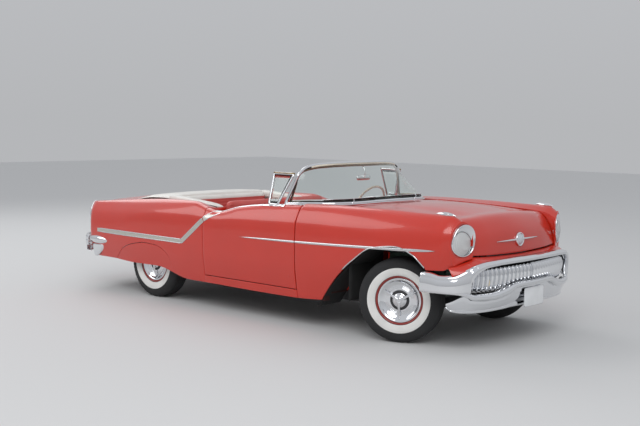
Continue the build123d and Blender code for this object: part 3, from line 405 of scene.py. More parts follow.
def flank(x, low=None, high=None, rows=44, out=0.0):
    """The left flank between two heights or its ends, as (x, y, z), moved outward by out."""
    fine = sections(x)
    start = np.zeros(len(x)) if low is None else share_at(fine, np.broadcast_to(low, x.shape))
    end = np.ones(len(x)) if high is None else share_at(fine, np.broadcast_to(high, x.shape))
    t = np.linspace(0, 1, rows)
    points = at_shares(fine, start[:, None] + (end - start)[:, None] * t)
    grid = stack(x[:, None], points[..., 1], points[..., 0])
    return grid + out * normals(grid) if out else grid


def normals(grid):
    """The grid's unit normals: its way up crossed with its way forward."""
    return unit(np.cross(np.gradient(grid, axis=1), np.gradient(grid, axis=0)))


def on_flank(x, z, out=0.0):
    """Points on the left flank at stations x and heights z, moved outward by out."""
    fine = sections(x)
    share = share_at(fine, z)[:, None]
    step = 0.004
    a, b = at_shares(fine, share)[:, 0], at_shares(fine, share + step)[:, 0]
    rise = unit(b - a)
    return stack(x, a[:, 1] + rise[:, 0] * out, a[:, 0] - rise[:, 1] * out)


def stations(start, end, count, extra=()):
    """Even stations with a few more where an edge is steep."""
    return np.unique(np.concatenate([np.linspace(start, end, count), np.asarray(extra, float)]))


def panel_pair(name, grid, *materials, depth=SKIN, inner=1):
    """The left panel and its mirror image, each with its thickness; the callers hide the nodes they replace.
    """
    for side, sign in SIDES:
        obj = sheet(f"{name}_{side}_panel", grid * (1, sign, 1), *materials, flip=sign < 0)
        thick(obj, depth, inner=inner)
        yield side, obj


def belt_share(fine):
    """How far along each section the belt stands: at its crest, or where it reaches the door's inner face."""
    row = np.arange(len(fine))
    crest = share_at(fine, fine[row, fine[..., 0].argmax(axis=1), 0] - 1e-5)
    outside = (fine[..., 1] > DOOR_INNER_Y).cumsum(axis=1).argmax(axis=1) / (fine.shape[1] - 1)
    return np.minimum(crest, outside)


def edge_x(y):
    """Where the fender's front edge, swept back toward the side, stands at a width."""
    return 2.432 - (np.abs(y) - 0.650) * (0.087 / 0.242)


def swept(x, y):
    """Stations at widths y, those ahead of SWEPT_FROM moved so that the last ones meet the swept edge."""
    ahead = np.clip(x - SWEPT_FROM, 0, None)
    return x + ahead * ((edge_x(y) - SWEPT_FROM) / (NOSE_X - SWEPT_FROM) - 1)


def fenders():
    """The front fenders, cut for the wheels; each end carries a lamp."""
    steep = np.linspace(1.00, 1.26, 26).tolist() + np.linspace(1.98, 2.16, 28).tolist()
    x = stations(DOOR_FRONT + SEAM, NOSE_X, 80, steep)
    arch = np.interp(x, ARCH[:, 0], ARCH[:, 1], left=0, right=0)
    inside = (x > ARCH[0, 0]) & (x < ARCH[-1, 0])
    arch = np.where(inside, smooth(ARCH[:, 0], ARCH[:, 1:], x)[:, 0], 0)
    grid = flank(x, np.maximum(arch, 0.01), rows=38)
    grid[..., 0] = swept(grid[..., 0], grid[..., 1])
    for side, obj in panel_pair("fender", grid, PAINT, UNDERSEAL):
        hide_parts(f"fender_{side}")
        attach(obj, "body")
    x = np.linspace(2.20, NOSE_X, 24)
    top = sections(x)[:, -1]
    x = swept(x, top[:, 1])
    t = np.linspace(0, 1, 12)
    wall = stack(x[:, None], top[:, 1:] - 0.001, 0.730 + (top[:, :1] - 0.003 - 0.730) * t)
    for side, sign in SIDES:
        obj = thick(sheet(f"fender_inner_wall_{side}", wall * (1, sign, 1), PAINT, flip=sign > 0), 0.0015)
        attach(obj, "body")


def arch_linings():
    """Black linings round the front wheel openings, a wall behind each wheel, and bright lips."""
    splash_x = 1.352
    x = stations(ARCH[0, 0], ARCH[-1, 0], 70, np.linspace(2.04, 2.14, 14))
    z = smooth(ARCH[:, 0], ARCH[:, 1:], x)[:, 0]
    y = np.linspace(0.600, 0.900, 8)
    for side, sign in SIDES:
        roof = sheet(f"arch_lining_{side}", stack(x[:, None], sign * y, z[:, None] + 0.012), UNDERSEAL,
                     flip=sign < 0)
        plated(roof, 0.002)
        rear = np.linspace(0.30, 0.76, 14)
        splash = sheet(f"splash_wall_{side}",
                       stack(splash_x, sign * np.linspace(0.440, 0.905, 10)[:, None], rear),
                       UNDERSEAL, flip=sign < 0)
        apron = sheet(f"apron_{side}", stack(np.linspace(splash_x + 0.002, 2.150, 20)[:, None], sign * 0.652,
                                             np.linspace(0.728, 0.880, 6)), UNDERSEAL, flip=sign > 0)
        plated(apron, 0.002)
        plated(splash, 0.002)
        keep = (x > 1.30) & (x < 2.135)
        line = on_flank(x[keep], z[keep] + 0.004, 0.002)
        lip = sweep(f"arch_lip_{side}", line * (1, sign, 1), ring(0.0055, 10), STAINLESS)
        for obj, slot_name in ((roof, "chassis_black"), (splash, "chassis_black"),
                               (apron, "chassis_black"), (lip, "chrome")):
            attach(obj, "body")


def gravel_pan():
    """The painted pan that closes the gap between the hood's lip, the fenders and the bumper's band."""
    y = np.linspace(-0.880, 0.880, 140)
    wide = np.abs(y)
    lip = smooth(HOOD_ROWS[:, 0], HOOD_ROWS[:, 7:], np.clip(y, -0.655, 0.655))
    back_x = np.where(wide < 0.655, lip[:, 0] - 0.020, edge_x(wide) - 0.012)
    back_z = np.where(wide < 0.655, lip[:, 1] - 0.012,
                      np.interp(wide, (0.660, 0.830, 0.880), (0.740, 0.694, 0.680)))
    corner = 2.395 + 0.010 * np.clip((wide - 0.62) / 0.07, 0, 1)
    back_x = np.where((wide > 0.62) & (wide < 0.69), corner, back_x)
    band_line = curve(FRONT_PLAN, 400)[::-1]
    front_x = np.interp(wide, band_line[:, 1], band_line[:, 0]) - 0.030
    front_z = smooth(BAND_TOP[:, 0], BAND_TOP[:, 1:], wide)[:, 0] - 0.016
    front_x = np.maximum(front_x, back_x + 0.004)
    t = np.linspace(0, 1, 12)
    sag = 0.006 * np.sin(np.pi * t)
    grid = stack(back_x[:, None] + (front_x - back_x)[:, None] * t, y[:, None],
                 back_z[:, None] + (front_z - back_z)[:, None] * t**1.4 + sag)
    obj = thick(sheet("gravel_pan", grid, PAINT, UNDERSEAL), 0.0015, inner=1)
    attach(obj, "body")


def quarters():
    """The rear quarters, open below for the skirts, and the skirts in them."""
    steep = np.linspace(-1.842, -1.80, 12).tolist() + np.linspace(-0.99, -0.91, 26).tolist()
    x = stations(TAIL_X, DOOR_REAR, 90, steep)
    inside = (x > SKIRT_EDGE[0, 0]) & (x < SKIRT_EDGE[-1, 0])
    edge = np.where(inside, smooth(SKIRT_EDGE[:, 0], SKIRT_EDGE[:, 1:], x)[:, 0], 0)
    for side, obj in panel_pair("quarter", flank(x, np.maximum(edge, 0.01), rows=38), PAINT, UNDERSEAL):
        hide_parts(f"quarter_{side}")
        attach(obj, "body")
    end = sections(np.array([TAIL_X]))[0]
    end = end[(end[:, 0] > 0.62) & (end[:, 1] > 0.730)]
    for side, sign in SIDES:
        edge_line = stack(TAIL_X + 0.004, sign * (end[:, 1] - 0.001), end[:, 0] - 0.001)
        trim = sweep(f"quarter_end_trim_{side}", edge_line, ring(0.0075, 12), CHROME, up=(1, 0, 0))
        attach(trim, "body")
    x = stations(SKIRT_EDGE[0, 0] + 0.004, SKIRT_EDGE[-1, 0] - 0.004, 90, np.linspace(-0.99, -0.93, 20))
    top = smooth(SKIRT_EDGE[:, 0], SKIRT_EDGE[:, 1:], x)[:, 0] - 0.005
    for side, obj in panel_pair("skirt", flank(x, None, top, 26), PAINT, UNDERSEAL):
        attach(obj, "body")
    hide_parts("fender_skirts")


def doors():
    """The doors' outer skins and the rockers below them."""
    x = np.linspace(DOOR_REAR + SEAM, DOOR_FRONT, 64)
    fine = sections(x)
    top = belt_share(fine)
    low = share_at(fine, np.full(len(x), DOOR_BOTTOM))
    t = np.linspace(0, 1, 38)
    points = at_shares(fine, low[:, None] + (top - low)[:, None] * t)
    grid = stack(x[:, None], points[..., 1], points[..., 0])
    crest_y, crest_z = grid[:, -1, 1], grid[:, -1, 2]
    ledge = np.linspace(0, 1, 8)[None, 1:]
    over = stack(x[:, None], crest_y[:, None] + (DOOR_INNER_Y - crest_y)[:, None] * ledge,
                 crest_z[:, None] - 0.008 * ledge**2)
    grid = np.concatenate([grid, over], axis=1)
    for side, obj in panel_pair("door", grid, PAINT, UNDERSEAL):
        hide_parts(f"door_{side}")
        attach(obj, f"door_{side}")
    x = np.linspace(DOOR_REAR, DOOR_FRONT + SEAM, 60)
    for side, obj in panel_pair("rocker", flank(x, 0.01, DOOR_BOTTOM - SEAM, 8, 0.003), PAINT, UNDERSEAL):
        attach(obj, "body")


# Columns: y, rear z, middle z, shoulder x z, nose x z, lip x z
HOOD_ROWS = np.array([
    (-655, 1082, 1068, 2275, 1032, 2368, 925, 2415, 770),
    (-400, 1097, 1098, 2305, 1050, 2404, 940, 2445, 758), (0, 1106, 1110, 2325, 1060, 2426, 950, 2462, 752),
    (400, 1097, 1098, 2305, 1050, 2404, 940, 2445, 758), (655, 1082, 1068, 2275, 1032, 2368, 925, 2415, 770),
]) / 1000


def hood_grid(y):
    """The hood at widths y: a long top, a round shoulder and a steep nose, with a soft valley each side."""
    rows = smooth(HOOD_ROWS[:, 0], HOOD_ROWS[:, 1:], y)
    rear_z, middle_z, shoulder_x, shoulder_z, nose_x, nose_z, lip_x, lip_z = rows.T
    middle_x = (HOOD_REAR + shoulder_x) / 2
    before_x = shoulder_x - 0.16
    before_z = shoulder_z + 0.016
    points = np.stack([stack(HOOD_REAR, rear_z), stack(middle_x, middle_z), stack(before_x, before_z),
                       stack(shoulder_x, shoulder_z), stack(nose_x, nose_z), stack(lip_x, lip_z)], axis=1)
    fine = spline_rows(points, 80)
    grid = stack(fine[..., 0], y[:, None], fine[..., 1])
    valley = np.exp(-((np.abs(y) - 0.44) / 0.10) ** 2)[:, None]
    fade = np.clip((fine[..., 0] - HOOD_REAR) / 0.3, 0, 1) * np.clip((2.35 - fine[..., 0]) / 0.25, 0, 1)
    grid[..., 2] -= 0.010 * valley * fade
    return grid


def hood():
    """The hood with its nose."""
    grid = hood_grid(np.linspace(-HOOD_HALF, HOOD_HALF, 64))
    obj = thick(sheet("hood_panel", grid, PAINT, UNDERSEAL), SKIN, inner=1)
    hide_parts("hood")
    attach(obj, "hood")


# Columns: y, front z, edge x z, drop x z, foot x z
LID_ROWS = np.array([
    (-700, 955, -2362, 905, -2405, 760, -2415, 575), (-400, 985, -2400, 925, -2442, 770, -2450, 565),
    (0, 998, -2420, 936, -2460, 775, -2468, 560), (400, 985, -2400, 925, -2442, 770, -2450, 565),
    (700, 955, -2362, 905, -2405, 760, -2415, 575)]) / 1000


def trunk_lid():
    """The lid: the deck, a round rear edge and the drop to the bumper."""
    y = np.linspace(-LID_HALF, LID_HALF, 60)
    front_z, edge_x, edge_z, drop_x, drop_z, foot_x, foot_z = smooth(LID_ROWS[:, 0], LID_ROWS[:, 1:], y).T
    points = np.stack([stack(LID_FRONT, front_z),
                       stack((LID_FRONT + edge_x) / 2, (front_z + edge_z) / 2 + 0.010),
                       stack(edge_x + 0.08, edge_z + 0.014), stack(edge_x, edge_z), stack(drop_x, drop_z),
                       stack(foot_x, foot_z)], axis=1)
    fine = spline_rows(points, 56)
    grid = stack(fine[..., 0], y[:, None], fine[..., 1])
    obj = thick(sheet("lid_panel", grid, PAINT, UNDERSEAL, flip=True), SKIN, inner=1)
    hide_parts("trunk_lid")
    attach(obj, "trunk_lid")


def tail():
    """The panel below the lid, and the quarters' rear ends round the lamps."""
    y = np.linspace(-0.79, 0.79, 60)
    t = np.linspace(0, 1, 16)
    bow = 0.070 * np.cos(y / 0.80 * np.pi / 2)
    grid = stack(-2.377 - bow[:, None] + 0.03 * t**2, y[:, None], 0.556 - 0.203 * t)
    obj = thick(sheet("tail_panel_skin", grid, PAINT, UNDERSEAL, flip=True), SKIN, inner=1)
    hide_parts("tail_panel")
    end = sections(np.array([TAIL_X]))[0]
    crest = end[:, 0].argmax()
    z, outer = end[:crest + 1].T
    inner = np.where(z > end[-1, 0], np.interp(z, end[:crest - 1:-1, 0], end[:crest - 1:-1, 1]), 0.712)
    t = np.linspace(0, 1, 8)
    grid = stack(TAIL_X + 0.003, inner[:, None] + (outer - 0.001 - inner)[:, None] * t, z[:, None] - 0.001)
    pieces = [obj]
    for side, sign in SIDES:
        face = sheet(f"quarter_end_{side}", grid * (1, sign, 1), PAINT, flip=sign < 0)
        plated(face, 0.0015)
        pieces.append(face)
    fasten(pieces, "body")


fenders()
arch_linings()
quarters()
doors()
hood()
trunk_lid()
tail()


# Bright work

# Plan of the front bumper's outer face from its rear end to the middle: x and y
FRONT_PLAN = np.array([(2117, 950), (2200, 948), (2280, 938), (2350, 915), (2420, 875), (2500, 780),
                       (2560, 640), (2600, 450), (2630, 220), (2644, 0)]) / 1000
REAR_PLAN = np.array([(-2300, 930), (-2360, 914), (-2432, 868), (-2510, 780), (-2580, 600), (-2610, 400),
                      (-2636, 200), (-2644, 0)]) / 1000
# Heights over the distance from the middle: y and z
BAND_TOP = np.array([(0, 745), (288, 743), (608, 731), (708, 713), (788, 684), (847, 652), (895, 628),
                     (936, 622), (952, 645)]) / 1000
MOUTH = np.array([(0, 706), (423, 698), (618, 684), (722, 640), (757, 600), (775, 560), (784, 480),
                  (960, 478)]) / 1000
PAN_TOP = np.array([(0, 500), (276, 500), (329, 461), (410, 432), (583, 414), (746, 426), (797, 460),
                    (912, 394)]) / 1000
PAN_FOOT = np.array([(0, 320), (349, 314), (598, 309), (793, 308), (876, 326), (912, 392)]) / 1000
# The lower bar: distance from the middle, height and radius
LOW_BAR = np.array([(0, 517, 22), (200, 517, 22), (285, 512, 23), (345, 490, 31), (410, 470, 33),
                    (560, 447, 31), (747, 450, 24), (800, 470, 19), (870, 489, 15), (938, 492, 13),
                    (950, 492, 12)]) / 1000
PITCH = 0.054
LAMP_TILT = 0.26
SPREAD = np.array([(0, 0.045), (0, 0.016), (0.05, 0.004), (0.25, 0.0), (0.75, 0.010), (0.95, 0.024),
                   (1, 0.036), (1, 0.066)])


def plan_line(plan, count, dense=()):
    """A bumper's plan from its right end over the middle to its left end, denser between two widths."""
    line = curve(plan, 900)
    run = np.concatenate([[0], np.cumsum(np.linalg.norm(np.diff(line, axis=0), axis=1))])
    at = np.linspace(0, run[-1], count)
    if dense:
        near = np.interp(dense, line[::-1, 1], run[::-1])
        at = np.unique(np.concatenate([at, np.linspace(near[1], near[0], 40)]))
    left = stack(np.interp(at, run, line[:, 0]), np.interp(at, run, line[:, 1]))
    return np.concatenate([left * (1, -1), left[-2::-1]])


def outward(line):
    """A plan line's unit normals, away from the car."""
    ahead = unit(np.gradient(line, axis=0))
    return stack(ahead[:, 1], -ahead[:, 0]) * np.sign(line[len(line) // 2, 0])


def heights(table, line):
    """A table of heights read at each point's distance from the middle."""
    return smooth(table[:, 0], table[:, 1:], np.abs(line[:, 1]))[:, 0]


def band(name, line, low, high, profile, *materials, count=26):
    """A surface that follows a plan line between two heights; the profile gives share of height and depth."""
    share, depth = curve(profile, count).T
    depth = np.clip(depth, 0, None)
    place = line[:, None] - outward(line)[:, None] * depth[None, :, None]
    z = low[:, None] + (high - low)[:, None] * np.clip(share, 0, 1)
    return sheet(name, stack(place[..., 0], place[..., 1], z), *materials, flip=line[len(line) // 2, 0] > 0)


def lofted(name, centres, radii, material, count=20, power=1.0):
    """Rings round a row of centres, one above another: (x, y, z) and half lengths in x and y."""
    t = np.arange(count) * 2 * np.pi / count
    c, s = np.cos(t), np.sin(t)
    flat = stack(np.sign(c) * np.abs(c) ** power, np.sign(s) * np.abs(s) ** power)
    grid = np.zeros((len(centres), count, 3)) + np.asarray(centres, float)[:, None]
    grid[..., :2] += flat[None] * np.asarray(radii, float)[:, None]
    return tidy(sheet(name, grid, material, wrap_cols=True, caps=True))


def front_bumper():
    """The band over the mouth, the lower bar that steps up over the plate, and the pan."""
    line = plan_line(FRONT_PLAN, 80, (0.70, 0.80))
    top = band("front_band", line, heights(MOUTH, line), heights(BAND_TOP, line), SPREAD, CHROME)
    thick(top, 0.003, 0.001)
    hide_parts("front_bumper")
    low = plan_line(FRONT_PLAN, 90)
    z, radius = smooth(LOW_BAR[:, 0], LOW_BAR[:, 1:], np.abs(low[:, 1])).T
    path = low - outward(low) * (radius + 0.001)[:, None]
    bar = sweep("lower_bar", stack(path[:, 0], path[:, 1], z), ring(1.0, 18, 1.0), CHROME, scale=radius)
    pan_plan = np.vstack([[(2.382, 0.898)], FRONT_PLAN[FRONT_PLAN[:, 0] > 2.4]]) - (0.040, 0)
    pan_line = plan_line(pan_plan, 60, (0.85, 0.89))
    roll = [(0, 0.075), (0.03, 0.050), (0.3, 0.022), (0.7, 0.004), (1, 0.0), (1, 0.030)]
    pan = band("lower_pan", pan_line, heights(PAN_FOOT, pan_line), heights(PAN_TOP, pan_line), roll, CHROME)
    thick(pan, 0.003, 0.001)
    fasten((top, bar, pan), "body")


def grille():
    """The mouth's fluted back, with a rounded tooth at each pitch, and the parking lamps in its corners."""
    line = plan_line(FRONT_PLAN[FRONT_PLAN[:, 0] > 2.4], 320)
    line = line[np.abs(line[:, 1]) < 0.76]
    run = np.concatenate([[0], np.cumsum(np.linalg.norm(np.diff(line, axis=0), axis=1))])
    wave = np.abs(np.sin(run / PITCH * np.pi))
    share = np.linspace(0, 1, 15)
    depth = 0.112 - 0.034 * wave[:, None] - 0.030 * np.sin(share * np.pi)[None] * (0.4 + wave[:, None] * 0.6)
    depth += 0.050 * np.clip(share - 0.75, 0, 1)[None] * 2
    place = line[:, None] - outward(line)[:, None] * depth[..., None]
    z = 0.478 + 0.232 * share[None] + 0 * run[:, None]
    back = thick(sheet("grille_teeth", stack(place[..., 0], place[..., 1], z), CHROME, flip=True), 0.002, 0)
    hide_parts("grille")
    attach(back, "body")
    for side, sign in SIDES:
        centre = (2.490, sign * 0.541, 0.547)
        shell = [(0.0, -0.055), (0.038, -0.055), (0.041, 0.004), (0.037, 0.012), (0.032, 0.008), (0.032, 0.0),
                 (0.0, 0.0)]
        lens = [(0.0, 0.001), (0.031, 0.001), (0.031, 0.008), (0.026, 0.017), (0.014, 0.022), (0.0, 0.024)]
        for part, profile, made in (("ring", shell, CHROME), ("lens", lens, PARKING_LENS)):
            obj = turned(f"parking_{part}_{side}", profile, centre, (1, 0, 0), made, 48)
            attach(obj, "body")


def plate():
    """The blank plate in its bright surround, on the bracket below the lower bar."""
    half_y, half_z, x = 0.152, 0.076, 2.611
    for name, grow, front, back, made in (("plate_blank", 0.0, x + 0.002, x, PLATE_WHITE),
                                          ("plate_surround", 0.006, x, x - 0.003, CHROME)):
        t = np.linspace(0, 2 * np.pi, 96, endpoint=False)
        c, s = np.cos(t), np.sin(t)
        loop = stack(np.sign(c) * np.abs(c) ** 0.16 * (half_y + grow),
                     np.sign(s) * np.abs(s) ** 0.16 * (half_z + grow))
        rings = []
        for share, at in ((0.0, front), (0.97, front), (1.0, front - 0.0006), (1.0, back + 0.0006),
                          (0.97, back), (0.0, back)):
            rings.append(stack(at, loop[:, 0] * share, loop[:, 1] * share + 0.396))
        obj = tidy(sheet(name, np.array(rings), made, wrap_cols=True))
        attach(obj, "body")
        if made is PLATE_WHITE:
            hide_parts("front_plate")


def rear_bumper():
    """The bar round the tail, a bullet with a wedge below it at each end, and two inner guards."""
    line = plan_line(REAR_PLAN, 66)
    z = np.zeros(len(line))
    profile = [(0, 0.034), (0, 0.010), (0.06, 0.002), (0.46, 0.0), (0.5, 0.010), (0.54, 0.004), (0.92, 0.010),
               (1, 0.020), (1, 0.036)]
    bar = thick(band("rear_bar", line, z + 0.452, z + 0.566, profile, CHROME, count=26), 0.003, 0.001)
    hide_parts("rear_bumper")
    low_line = plan_line(REAR_PLAN[REAR_PLAN[:, 0] < -2.4] + (0.016, 0), 40)
    flat = np.zeros(len(low_line))
    low = thick(band("rear_pan", low_line, flat + 0.376, flat + 0.456,
                     [(0, 0.05), (0.1, 0.02), (0.5, 0.004), (1, 0.0)], CHROME), 0.003, 0.001)
    pieces = [bar, low]
    for side, sign in SIDES:
        x = np.linspace(-2.310, -1.902, 40)
        share = (x - x[0]) / (x[-1] - x[0])
        radius = 0.047 * (np.sin(np.pi * share**0.78) ** 0.75)
        body = list(zip(radius, x - x[0]))
        pieces.append(turned(f"pod_{side}", body, (x[0], sign * 0.905, 0.530), (1, 0, 0), CHROME, 64))
        t = np.linspace(0, 1, 18)
        centres = stack(-2.140 - 0.055 * t, sign * (0.893 + 0.004 * t), 0.476 - 0.129 * t)
        radii = stack(0.104 * (1 - t) ** 0.8 + 0.020, 0.026 * (1 - 0.5 * t**2))
        pieces.append(lofted(f"pod_guard_{side}", centres, radii, CHROME, 40, 0.85))
        t = np.linspace(0, 1, 16)
        centres = stack(-2.612, sign * 0.330, 0.362 + 0.238 * t)
        swell = np.sin(np.pi * np.clip(t, 0.04, 0.96)) ** 0.35
        pieces.append(lofted(f"rear_guard_{side}", centres, stack(0.030 * swell, 0.030 * swell), CHROME, 32,
                             0.8))
    fasten(pieces, "body")


def lamp_outline(angle):
    """The fender's end seen from ahead: its distance from the lamp's middle at each angle."""
    end = sections(np.array([NOSE_X - 0.03]))[0][:, ::-1]
    loop = np.concatenate([end, [(0.662, end[-1, 1]), (0.662, 0.742), (0.72, 0.732), end[0]]])
    steps = np.linspace(0, len(loop) - 1, 900)
    fine = stack(*[np.interp(steps, np.arange(len(loop)), loop[:, k]) for k in (0, 1)]) - (LAMP[1], LAMP[2])
    turn = np.arctan2(fine[:, 1], fine[:, 0])
    order = np.argsort(turn)
    return np.interp(angle, turn[order], np.linalg.norm(fine, axis=1)[order], period=2 * np.pi)


def lamp_fronts():
    """Each lamp: the fender's face round it, a bezel with a peak, and a fluted lens, turned out by a tilt."""
    t = np.linspace(0, 2 * np.pi, 128, endpoint=False)
    peak = 0.103 + 0.055 * np.clip(np.sin(t - 0.25), 0, 1) ** 2.5
    skin_r = np.maximum(lamp_outline(np.where(t > np.pi, t - 2 * np.pi, t)) - 0.002, peak + 0.003)
    for side, sign in SIDES:
        def loop(radius, depth, sign=sign):
            y, z = LAMP[1] + np.cos(t) * radius, LAMP[2] + np.sin(t) * radius
            return stack(edge_x(y) - depth, sign * y, z)
        tilt = LAMP_TILT * 0.0945 * np.cos(t)
        seat = stack(LAMP[0] + 0.046 - tilt, sign * (LAMP[1] + np.cos(t) * 0.0945),
                     LAMP[2] + np.sin(t) * 0.0945)
        face = sheet(f"lamp_face_{side}",
                     np.array([loop(skin_r, 0.012), loop(skin_r, 0.001), loop(skin_r * 0.97, -0.001),
                               loop(peak + 0.004, 0.0), loop(peak + 0.002, 0.006)]),
                     PAINT, wrap_cols=True, flip=sign < 0)
        bezel = sheet(f"lamp_bezel_{side}", np.array([loop(peak + 0.001, 0.010), loop(peak + 0.001, -0.006),
                                                      loop(peak - 0.004, -0.011), loop(peak - 0.009, -0.006),
                                                      (seat * 0.45 + loop(peak - 0.010, 0.0) * 0.55), seat,
                                                      seat - (0.012, 0, 0)]),
                      CHROME, wrap_cols=True, flip=sign < 0)
        modifier(bezel, "SUBSURF", levels=1, render_levels=1)
        bowl = [(0.0935, 0.030), (0.0925, 0.020), (0.078, -0.008), (0.050, -0.030), (0.0, -0.042),
                (0.0, -0.045), (0.052, -0.033), (0.081, -0.010), (0.0955, 0.020)]
        centre = (LAMP[0] + 0.016, sign * LAMP[1], LAMP[2])
        axis = (1, sign * LAMP_TILT, 0)
        reflector = turned(f"lamp_reflector_{side}", bowl, centre, axis, REFLECTOR, 72)
        r = np.linspace(0, 0.0935, 14)
        dome = [(a, 0.056 - 2.4 * a**2) for a in r] + [(a, 0.051 - 2.35 * a**2) for a in r[::-1]]
        lens = turned(f"lamp_lens_{side}", dome, centre, axis, LAMP_GLASS, 96)
        tip = [(0, -0.030), (0.012, -0.030), (0.014, -0.012), (0.010, -0.004), (0, -0.002)]
        bulb = turned(f"lamp_bulb_{side}", tip, centre, axis, CREAM, 24)
        for obj, slot in ((face, "body_paint"), (bezel, "chrome"), (reflector, "chrome"),
                          (lens, "lamp_glass"), (bulb, "chrome")):
            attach(obj, "body")
        if sign > 0:
            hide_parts("headlamps")


def tail_lamps():
    """A round ribbed red lens in a bright ring at each quarter's end."""
    for side, sign in SIDES:
        centre = (TAIL_X, sign * 0.776, 0.796)
        hoop = [(0.044, 0.0), (0.0535, 0.0), (0.0535, 0.030), (0.050, 0.036), (0.045, 0.034), (0.044, 0.028)]
        r = np.linspace(0.0, 0.0438, 40)
        dome = [(a, 0.060 - 14 * a**2 + 0.0012 * np.cos(a * 900)) for a in r]
        hoop_obj = turned(f"tail_ring_{side}", hoop, centre, (-1, 0, 0), CHROME, 72)
        lens = turned(f"tail_lens_{side}", dome + [(0.0438, 0.0), (0.0, 0.0)], centre, (-1, 0, 0), RED_GLASS,
                      72)
        fasten((hoop_obj, lens), "body")
        if sign > 0:
            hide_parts("tail_lamps")


# Side trim: x and z along the flank, with the half height
SPEAR = np.array([(80, 747, 1), (180, 749, 6), (400, 753, 9), (816, 761, 11), (1500, 782, 12),
                  (2080, 804, 12), (2190, 809, 8), (2240, 812, 1)]) / 1000
SWEEP = np.array([(-241, 958, 26), (-330, 925, 26), (-436, 866, 25), (-560, 772, 25), (-680, 681, 25),
                  (-722, 649, 25), (-738, 637, 25), (-755, 634, 25), (-800, 634, 25), (-1200, 635, 25),
                  (-1700, 636, 26), (-2060, 636, 24), (-2127, 636, 20)]) / 1000


def strip(name, body, table, start, end, made, profile, count=70):
    """A moulding on the flank along a table's line from start to end; its profile is (across, out)."""
    line = curve(table[:, :2], 900)
    half = np.interp(line[:, 0], *(table[np.argsort(table[:, 0])][:, [0, 2]].T))
    keep = (line[:, 0] >= start) & (line[:, 0] <= end)
    line, half = line[keep], half[keep]
    pick = np.linspace(0, len(line) - 1, count).astype(int)
    line, half = line[pick], half[pick]
    ahead = unit(np.gradient(line, axis=0))
    side_way = stack(-ahead[:, 1], ahead[:, 0]) * np.sign(line[-1, 0] - line[0, 0])
    across, out = np.asarray(profile, float).T
    at = line[:, None] + side_way[:, None] * (half[:, None] * across)[..., None]
    points = on_flank(at[..., 0].ravel(), at[..., 1].ravel(), (np.zeros_like(half[:, None]) + out).ravel())
    grid = points.reshape(len(line), len(across), 3)
    if line[-1, 0] < line[0, 0]:
        grid = grid[::-1]
    for side, sign in SIDES:
        obj = sheet(f"{name}_{side}", grid * (1, sign, 1), made, flip=sign < 0)
        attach(obj, body.format(side))


def side_trim():
    """The spear along the fender and door, the sweep down the quarter, and the belt's bright moulding."""
    t = np.linspace(-1, 1, 9)
    crown = stack(t, 0.0068 * np.sqrt(np.clip(1 - t**2, 0, 1)) - 0.001)
    strip("spear_front", "body", SPEAR, DOOR_FRONT + SEAM, 2.240, STAINLESS, crown)
    strip("spear_door", "door_{}", SPEAR, 0.080, DOOR_FRONT - 0.001, STAINLESS, crown)
    for part, middle, width, made in (("upper", 0.78, 0.22, STAINLESS), ("lower", -0.78, 0.22, STAINLESS)):
        rib = crown * (width, 1.0) + (middle, 0)
        strip(f"sweep_{part}_door", "door_{}", SWEEP, DOOR_REAR + SEAM, -0.241, made, rib)
        strip(f"sweep_{part}_quarter", "body", SWEEP, -2.127, DOOR_REAR, made, rib)
    fill = stack(np.linspace(-0.7, 0.7, 5), 0.003)
    strip("sweep_fill_door", "door_{}", SWEEP, DOOR_REAR + SEAM, -0.241, PALE_TRIM, fill)
    strip("sweep_fill_quarter", "body", SWEEP, -2.127, DOOR_REAR, PALE_TRIM, fill)
    x = np.linspace(-0.300, 0.560, 56)
    fine = sections(x)
    across = np.linspace(-1, 1, 17)
    wide = 0.0170 * np.clip((x + 0.300) / 0.10, 0.25, 1)
    points = at_shares(fine, belt_share(fine)[:, None] - 0.014 + wide[:, None] * across)
    grid = stack(x[:, None], points[..., 1], points[..., 0])
    lift = 0.0035 * (1 - across**8) + 0.0012 * np.cos(4 * np.pi * across)
    grid = grid + lift[None, :, None] * normals(grid)
    for side, sign in SIDES:
        belt = thick(sheet(f"belt_{side}", grid * (1, sign, 1), CHROME, flip=sign < 0), 0.003)
        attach(belt, f"door_{side}")


def ornaments():
    """The winged dome on the nose and the blade on each fender's crest."""
    y = np.linspace(-0.330, 0.330, 60)
    surface = nose_point(y, 0.858)
    height = 0.010 * (1 - (np.abs(y) / 0.330) ** 1.5) + 0.0015
    wings = sweep("nose_wings", surface + (0.004, 0, 0), ring(1.0, 14, 1.0), CHROME, scale=height)
    centre = (nose_point(np.zeros(1), 0.858)[0, 0] - 0.014, 0, 0.858)
    hoop = [(0.0, 0.0), (0.060, 0.0), (0.060, 0.026), (0.056, 0.032), (0.050, 0.031), (0.047, 0.025),
            (0.0, 0.022)]
    r = np.linspace(0, 0.047, 14)
    ball = [(a, 0.045 - 8.5 * a**2) for a in r] + [(0.046, 0.020), (0.0, 0.020)]
    pieces = [wings, turned("nose_ring", hoop, centre, (1, 0, 0), CHROME, 72),
              turned("nose_dome", ball, centre, (1, 0, 0), ENAMEL_GREY, 72)]
    fasten(pieces, "hood")
    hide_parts("nose_ornament")
    x = np.linspace(2.150, 2.335, 30)
    fine = sections(x)
    crest = fine[np.arange(len(x)), fine[..., 0].argmax(axis=1)]
    share = (x - x[0]) / (x[-1] - x[0])
    for side, sign in SIDES:
        path = stack(x, sign * crest[:, 1], crest[:, 0] + 0.006)
        size = 0.019 * np.sin(np.pi * np.clip(share, 0.02, 0.98)) ** 0.7
        blade = sweep(f"fender_blade_{side}", path, ring(1.0, 12, 1.0), CHROME, scale=size)
        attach(blade, "body")


